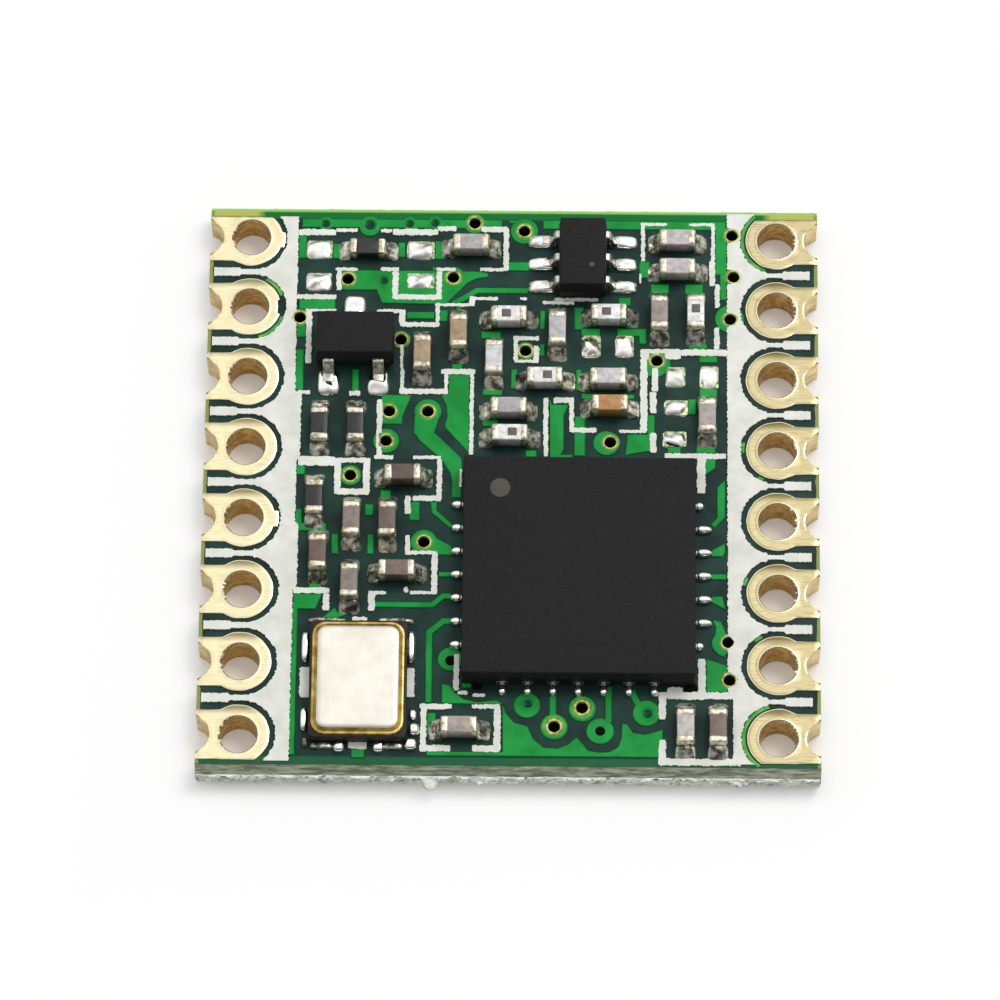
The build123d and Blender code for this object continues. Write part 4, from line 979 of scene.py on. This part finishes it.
smallPackages = [  # each pin is its way out and its offset; pool is half the width of its solder
    {"body": "transistor_body", "leads": "transistor_leads", "pool": 0.3, "leadWidth": 0.3,
     "pins": [(90, 0.0), (270, -0.65), (270, 0.65)]},
    {"body": "antenna_switch_body", "leads": "antenna_switch_leads", "pool": 0.19, "leadWidth": 0.22,
     "pins": [(way, step * 0.65) for way in (0, 180) for step in (-1, 0, 1)]},
]


def mound(at, turn, halfOut, halfAcross, heightAt, rim=0.5):
    # rings of a squarish oval from the rim in to the middle; the height comes from heightAt(out, across)
    around = np.linspace(0, 2 * np.pi, 30, endpoint=False)
    oval = np.column_stack((halfOut * np.sign(np.cos(around)) * np.abs(np.cos(around)) ** rim,
                            halfAcross * np.sign(np.sin(around)) * np.abs(np.sin(around)) ** rim))
    loops = []
    for share in (1.0, 0.985, 0.94, 0.86, 0.74, 0.6, 0.45, 0.3, 0.14):
        out, across = oval[:, 0] * share, oval[:, 1] * share
        rise = np.sqrt(max(1 - share ** 5, 0))
        loops.append(np.column_stack((out, across, boardTop + 0.002 + rise * heightAt(out, across))))
    return skin(placed(np.stack(loops), at, turn))


def chipJoint(faceAt, turn, high, seed):
    # a hollow fillet against the part's end, uneven as reflowed metal is
    random = np.random.default_rng(seed)
    reach = solderLook["reach"] * random.uniform(0.9, 1.12)
    inside = solderLook["inside"]
    halfOut = (reach + inside) / 2
    shift = halfOut - inside
    climb = high * solderLook["climb"] * random.uniform(0.7, 1.15)

    def heightAt(out, across):  # falls steeply away from the face, with a low bulge midway and ripples
        away = np.clip((out + shift) / reach, 0, 1)
        return (0.04 + climb * (1 - away) ** 2.2 + 0.05 * np.sin(np.pi * away) ** 2
                + solderLook["ripple"] * wobble(out, across, seed, 0.26))

    angle = math.radians(turn)
    centre = (faceAt[0] + shift * math.cos(angle), faceAt[1] + shift * math.sin(angle))
    halfAcross = solderLook["width"] / 2 * random.uniform(0.94, 1.04)
    return (*mound(centre, turn, halfOut, halfAcross, heightAt), finish["fillet"])


def besidePackage(middle, turn, out, offset):  # out from a package's middle, then offset across that way
    angle = math.radians(turn)
    return (middle[0] + out * math.cos(angle) - offset * math.sin(angle),
            middle[1] + out * math.sin(angle) + offset * math.cos(angle))


def radioJoints():
    # small rounded beads at the chip's lands: long ones on the right, short ones elsewhere
    look = {"pitch": 0.65, "count": 7, "high": 0.19, "under": 0.02, "halfAcross": 0.12}
    sides = ((0, 0.46, 0.24), (90, 0.12, 0.12), (180, 0.34, 0.34), (270, 0.35, 0.35))
    middle, size = boxOf("radio_chip_body")

    def bead(_, across):
        return look["high"] * (1 - 14 * across ** 2)

    chunks = []
    for turn, inner, outer in sides:  # the way out, and how far a side's inner and two outer beads reach
        for number in range(look["count"]):
            reach = outer if number in (0, look["count"] - 1) else inner
            offset = look["pitch"] * ((look["count"] - 1) / 2 - number)
            at = besidePackage(middle, turn, size[0] / 2 + reach / 2 - look["under"], offset)
            beadSkin = mound(at, turn, reach / 2 + look["under"], look["halfAcross"], bead, 0.9)
            chunks.append((*beadSkin, finish["solder"]))
    return chunks


def footJoints():
    # pools of metal over the feet of the small moulded packages, domed by a cosine
    look = {"out": 0.44, "halfOut": 0.38, "high": 0.12, "dome": 0.04, "ripple": 0.02}
    chunks = []
    for package in smallPackages:
        middle, size = boxOf(package["body"])
        for number, (turn, offset) in enumerate(package["pins"]):
            at = besidePackage(middle, turn, min(size[0], size[1]) / 2 + look["out"], offset)
            seed = 900 + number + int(10 * package["pool"])

            def pool(out, across, seed=seed):
                dome = look["high"] + look["dome"] * np.cos(out * 4)
                return dome + look["ripple"] * wobble(out, across, seed, 0.4)

            poolSkin = mound(at, turn, look["halfOut"], package["pool"], pool, 0.55)
            chunks.append((*poolSkin, finish["solder"]))
    return chunks


def makeSolder(look):
    # a fillet at both ends of every chip part, domes on the bare lands, mounds round the crystal and the
    # joints of the moulded packages; each has a seed of its own
    chunks = []
    seed = 200
    counts = (("resistor", 4), ("inductor", 5), ("capacitor", 21))
    for nodeName in [f"{kind}_{number + 1}" for kind, count in counts for number in range(count)]:
        middle, size = boxOf(nodeName)
        upright = size[1] > size[0]
        for way in (0, 180):
            turn = way + (90 if upright else 0)
            face = besidePackage(middle, turn, max(size[0], size[1]) / 2, 0.0)
            seed += 1
            chunks.append(chipJoint(face, turn, size[2], seed))
    for x, y, sizeX, sizeY in look["bareLands"]:
        seed += 1

        def domeAt(out, across, seed=seed, sizeX=sizeX, sizeY=sizeY):
            bowl = 1 - 0.6 * ((2 * out / sizeX) ** 2 + (2 * across / sizeY) ** 2)
            return look["domeHigh"] * np.clip(bowl, 0.25, 1) + 0.03 * wobble(out, across, seed, 0.42)

        chunks.append((*mound((x, y), 0, sizeX / 2, sizeY / 2, domeAt, 0.4), finish["solder"]))
        levels = [(boardTop + 0.001, 0), (boardTop + look["landHigh"], 0.004)]
        land = stacked(sizeX - 0.03, sizeY - 0.03, 0.05, levels)
        shifted = (x + look["landShift"], y + 0.3 * look["landShift"])
        chunks.append((*skin(placed(land, shifted)), finish["land"]))
    for x, y, sizeX, sizeY, high in look["crystalMounds"]:
        seed += 1

        def smooth(out, across, high=high, seed=seed):
            return high * (1 + 0.05 * wobble(out, across, seed, 0.4))

        # the low mounds take the fillet metal, with its painted reflections
        kind = finish["solder" if high > 0.15 else "fillet"]
        chunks.append((*mound((x, y), 0, sizeX / 2, sizeY / 2, smooth, 0.6), kind))
    chunks += radioJoints()
    chunks += footJoints()
    makePiece("solder_joints", chunks, ("solder",), 50.0)


makeSolder(solderLook)
print("solder ready")


# Moulded packages and their leads

mouldLook = {"draft": 0.04, "edge": 0.04, "corner": 0.05, "leadThick": 0.12, "reach": 0.445,
             "wider": 0.06, "aside": 0.7}  # aside: the share of the extra width that it moves to the right


def makeMoulding(nodeName, name, marks=(), draft=mouldLook["draft"], wider=0.0):
    # rounded rectangles stacked from the foot, drawn in away from the parting line, a quarter round on top
    middle, size = boxOf(nodeName)
    low, high = footAndTop(middle, size)
    part = (low + high) / 2
    turn = np.linspace(0, np.pi / 2, 5)
    rounding = mouldLook["edge"]
    levels = [(low, draft + rounding), (low + rounding, draft), (part - 0.01, 0.004), (part, 0),
              (part + 0.01, 0.004)]
    levels += [(high - rounding * (1 - math.sin(t)), draft + rounding * (1 - math.cos(t))) for t in turn]
    loops = stacked(size[0] + wider, size[1], mouldLook["corner"], levels)
    loops[..., 0] += mouldLook["aside"] * wider
    material = makeMouldingMaterial(name + "_compound", marks)
    chunks = [(*skin(placed(loops, middle)), material)]
    makePiece(nodeName + "_dressed", chunks, (nodeName,), 30.0)


def makeBentLeads(nodeName, bodyName, pins, width):
    # a rounded strip carried along an S: out of the side, down, and flat along its land
    middle, size = boxOf(bodyName)
    short = min(size[0], size[1]) / 2
    thick = mouldLook["leadThick"]
    tip = short + mouldLook["reach"]
    out = np.concatenate((np.linspace(short - 0.1, short + 0.02, 4),
                          np.linspace(short + 0.04, tip - 0.24, 14), np.linspace(tip - 0.2, tip, 5)))
    drop = np.clip((out - short - 0.03) / (tip - 0.22 - short - 0.03), 0, 1)
    ease = drop * drop * (3 - 2 * drop)
    knee, foot = middle[2], partSeat + thick / 2
    level = knee + (foot - knee) * ease
    slope = np.gradient(level, out)
    away = 1 / np.sqrt(1 + slope ** 2)
    section = roundRect(width, thick, 0.035, 4)
    loops = np.stack((out[:, None] - section[None, :, 1] * (slope * away)[:, None],
                      np.broadcast_to(section[None, :, 0], (len(out), len(section))),
                      level[:, None] + section[None, :, 1] * away[:, None]), -1)
    chunks = []
    for turn, offset in pins:
        shifted = loops.copy()
        shifted[..., 1] += offset
        chunks.append((*skin(placed(shifted, middle, turn)), finish["tin"]))
    makePiece(nodeName + "_dressed", chunks, (nodeName,), 40.0)


makeMoulding("radio_chip_body", "radio", [(-0.27, -0.45, 0.27)], draft=0.0)
makeMoulding("transistor_body", "transistor", wider=mouldLook["wider"])
makeMoulding("antenna_switch_body", "antenna_switch", [(2.06, 5.88, 0.08)])
for package in smallPackages:
    makeBentLeads(package["leads"], package["body"], package["pins"], package["leadWidth"])
dress("radio_chip_leads", finish["tin"])
print("packages ready")


# Crystal

crystalLook = {"notch": 0.16, "ringCorner": 0.34, "ringRound": 0.03, "lidCorner": 0.3, "lidSlope": 0.1,
               "flange": 0.03}


def makeCrystal(look):
    # rounded rectangles stacked up: a ceramic base, its gold seam ring, and a sloped lid with a gold flange
    middle, size = boxOf("crystal_base")
    low, high = footAndTop(middle, size)
    base = stacked(size[0], size[1], look["notch"], roundedLevels(low, high, 0.02, 0.02))
    makePiece("crystal_base_dressed", [(*skin(placed(base, middle)), finish["ceramic"])],
              ("crystal_base",))
    middle, size = boxOf("crystal_seam_ring")
    low, high = footAndTop(middle, size)
    levels = roundedLevels(low, high, 0.01, look["ringRound"], 6)
    ring = stacked(size[0], size[1], look["ringCorner"], levels)
    makePiece("crystal_seam_ring_dressed", [(*skin(placed(ring, middle)), finish["seam"])],
              ("crystal_seam_ring",))
    middle, size = boxOf("crystal_lid")
    low, high = footAndTop(middle, size)
    flange, slope = look["flange"], look["lidSlope"]
    rim = [(low, -0.02), (low + 0.3 * flange, -0.015), (low + flange, 0.015), (high - flange, slope * 0.7),
           (high - flange - 0.01, slope + 0.1)]
    cover = [(low + flange, slope * 0.7), (high - flange, slope * 0.68), (high - 0.4 * flange, slope),
             (high - 0.1 * flange, slope + 0.03), (high, slope + 0.06), (high, slope + 0.12),
             (high, slope + 0.5)]
    chunks = [(*skin(placed(stacked(size[0], size[1], look["lidCorner"], levels), middle)), finish[name])
              for levels, name in ((rim, "seam"), (cover, "lid"))]
    makePiece("crystal_lid_dressed", chunks, ("crystal_lid",), 25.0)


makeCrystal(crystalLook)
print("crystal ready")


# Board edges

def makeBrokenEdge(name, side, seed, nibs, tearSize):
    # the web left between two scores, snapped off: a strip along X whose face is torn in and out by waves
    # and chance, with a nib as a flat-topped bell
    look = {"from": 0.32, "to": 0.68, "step": 0.05}
    random = np.random.default_rng(seed)
    x = np.arange(-boardHalf + 0.02, boardHalf - 0.01, look["step"])
    levels = np.linspace(look["from"], look["to"], 9)
    alongX, upZ = x[:, None], levels[None, :]
    tear = wobble(alongX, upZ * 3, seed, 0.5) + 0.7 * wobble(alongX, upZ * 2, seed + 1, 0.16)
    out = tearSize * (0.3 + tear * 0.6 + random.uniform(-0.17, 0.17, (len(x), len(levels))))
    for nibX, width, long in nibs:
        out = out + long * np.exp(-(((alongX - nibX) / width) ** 4)) * np.exp(-(((upZ - 0.5) / 0.12) ** 4))
    out = np.clip(out, -0.05, 0.34) - (0.02 if side > 0 else 0.0)
    face = np.stack((np.broadcast_to(alongX, out.shape), side * (boardHalf + out),
                     np.broadcast_to(upZ, out.shape)), -1)
    rootY = np.full(len(x), side * (boardHalf - 0.12))
    back = np.stack([np.column_stack((x, rootY, np.full(len(x), level)))
                     for level in (levels[-1] - 0.03, levels[0] + 0.03)], 1)
    makePiece(name, [(*skin(np.concatenate((face, back), 1)), finish["web"])], (), 25.0)


frontNibs = [(-2.0, 0.2, 0.26), (5.9, 0.3, 0.08), (-0.6, 0.3, 0.08)]  # x, half width, how far out
makeBrokenEdge("broken_edge_front", -1, 31, frontNibs, 0.07)
makeBrokenEdge("broken_edge_back", 1, 47, [], 0.015)
dress("board", finish["mask"])
print("board ready")


# Stage, light and camera

cameraLook = {"place": (1.4124, -66.459, 159.126), "down": 67.337, "turn": -1.4706, "roll": -0.9006,
              "lens": 237.8}  # places in mm, angles in degrees
lightLook = {
    "keySize": 70.0, "keyPower": 0.08, "keyPlace": (60.0, 50.0, 140.0),
    # the sky is as bright as "horizon" low down and as "sky" from "full" up, and darker to the front
    "sky": 1.0, "horizon": 0.12, "full": 0.6, "skyStrength": 1.09,
    "front": 0.22, "frontDark": -0.7, "frontFull": 0.15,
    # the floor's own white, under the board's edge, just beside it, and what is added further off
    "floorHalf": 400.0, "glowUnder": 0.16, "floorGlow": 0.64, "glowFar": 0.3,
}


def makeFloor(look):  # a flat square on which the board lies
    side = look["floorHalf"] * mm
    corners = [(-side, -side, 0), (side, -side, 0), (side, side, 0), (-side, side, 0)]
    mesh = bpy.data.meshes.new("floor")
    mesh.from_pydata(corners, [], [(0, 1, 2, 3)])
    material, tree, shader = newMaterial("floor_white")
    white = (1, 1, 1, 1)
    fillInputs(tree, shader, (("Base Color", white), ("Roughness", 0.9), ("Specular IOR Level", 0.0)))
    # seen by the camera, the floor away from the board gives off a part of its white: a clean backdrop
    across, along, _ = axesOf(tree, objectPlace(tree))
    away = mathNode(tree, "MAXIMUM", mathNode(tree, "ABSOLUTE", across), mathNode(tree, "ABSOLUTE", along))
    near = spread(tree, away, (boardHalf - 0.1) * mm, (boardHalf + 0.45) * mm, look["glowUnder"],
                  look["floorGlow"])
    far = spread(tree, away, (boardHalf + 0.4) * mm, (boardHalf + 4) * mm, 0, look["glowFar"])
    share = mathNode(tree, "ADD", near, far)
    rays = addNode(tree, "ShaderNodeLightPath")
    seen = mathNode(tree, "MULTIPLY", share, rays.outputs["Is Camera Ray"])
    glow = addNode(tree, "ShaderNodeEmission", (("Color", white), ("Strength", 1.0)))
    both = addNode(tree, "ShaderNodeMixShader", ((0, seen), (1, shader.outputs[0]), (2, glow.outputs[0])))
    tree.links.new(both.outputs[0], tree.nodes["Material Output"].inputs[0])
    mesh.materials.append(material)
    newObject("floor", mesh)


def makeSky(look):  # grey from straight up to low down, by the direction alone
    world = bpy.data.worlds.new("studio")
    bpy.context.scene.world = world
    world.use_nodes = True
    tree = world.node_tree
    way = addNode(tree, "ShaderNodeTexCoord").outputs["Generated"]
    _, along, up = axesOf(tree, way)
    high = spread(tree, up, 0.0, look["full"], look["horizon"], look["sky"])
    frontShade = spread(tree, along, look["frontDark"], look["frontFull"], look["front"], 1.0)
    level = mathNode(tree, "MULTIPLY", high, frontShade)
    tone = addNode(tree, "ShaderNodeCombineColor", ((0, level), (1, level), (2, level)))
    fillInputs(tree, tree.nodes["Background"], ((0, tone.outputs[0]), (1, look["skyStrength"])))


def standAt(lampOrCamera, place, axes):  # place in mm, and where the object's own X, Y and Z point
    turn = Matrix(np.column_stack(axes).tolist()).to_4x4()
    lampOrCamera.matrix_world = Matrix.Translation(place * mm) @ turn


def makeKey(look):  # a round lamp that faces the board's middle
    lamp = bpy.data.lights.new("key", "AREA")
    lamp.shape = "DISK"
    lamp.size = look["keySize"] * mm
    lamp.energy = look["keyPower"]
    key = newObject("key", lamp)
    place = np.array(look["keyPlace"])
    back = place / np.linalg.norm(place)
    right = np.cross((0, 0, 1), back)
    right /= np.linalg.norm(right)
    standAt(key, place, (right, np.cross(back, right), back))


def makeCamera(look):
    # ahead comes from the turn and the way down, right and up from cross products, both rolled about ahead
    turn, down, roll = (math.radians(look[name]) for name in ("turn", "down", "roll"))
    ahead = np.array((math.sin(turn) * math.cos(down), math.cos(turn) * math.cos(down), -math.sin(down)))
    right = np.cross(ahead, (0, 0, 1))
    right /= np.linalg.norm(right)
    up = np.cross(right, ahead)
    rolledRight = right * math.cos(roll) + up * math.sin(roll)
    rolledUp = up * math.cos(roll) - right * math.sin(roll)
    camera = newObject("camera", bpy.data.cameras.new("camera"))
    camera.data.lens = look["lens"]
    camera.data.sensor_width = 36
    camera.data.clip_start = 0.01
    camera.data.clip_end = 10
    standAt(camera, np.array(look["place"]), (rolledRight, rolledUp, -ahead))
    bpy.context.scene.camera = camera


makeFloor(lightLook)
makeSky(lightLook)
makeKey(lightLook)
makeCamera(cameraLook)
bpy.context.scene.view_settings.view_transform = "Standard"
print("stage ready")
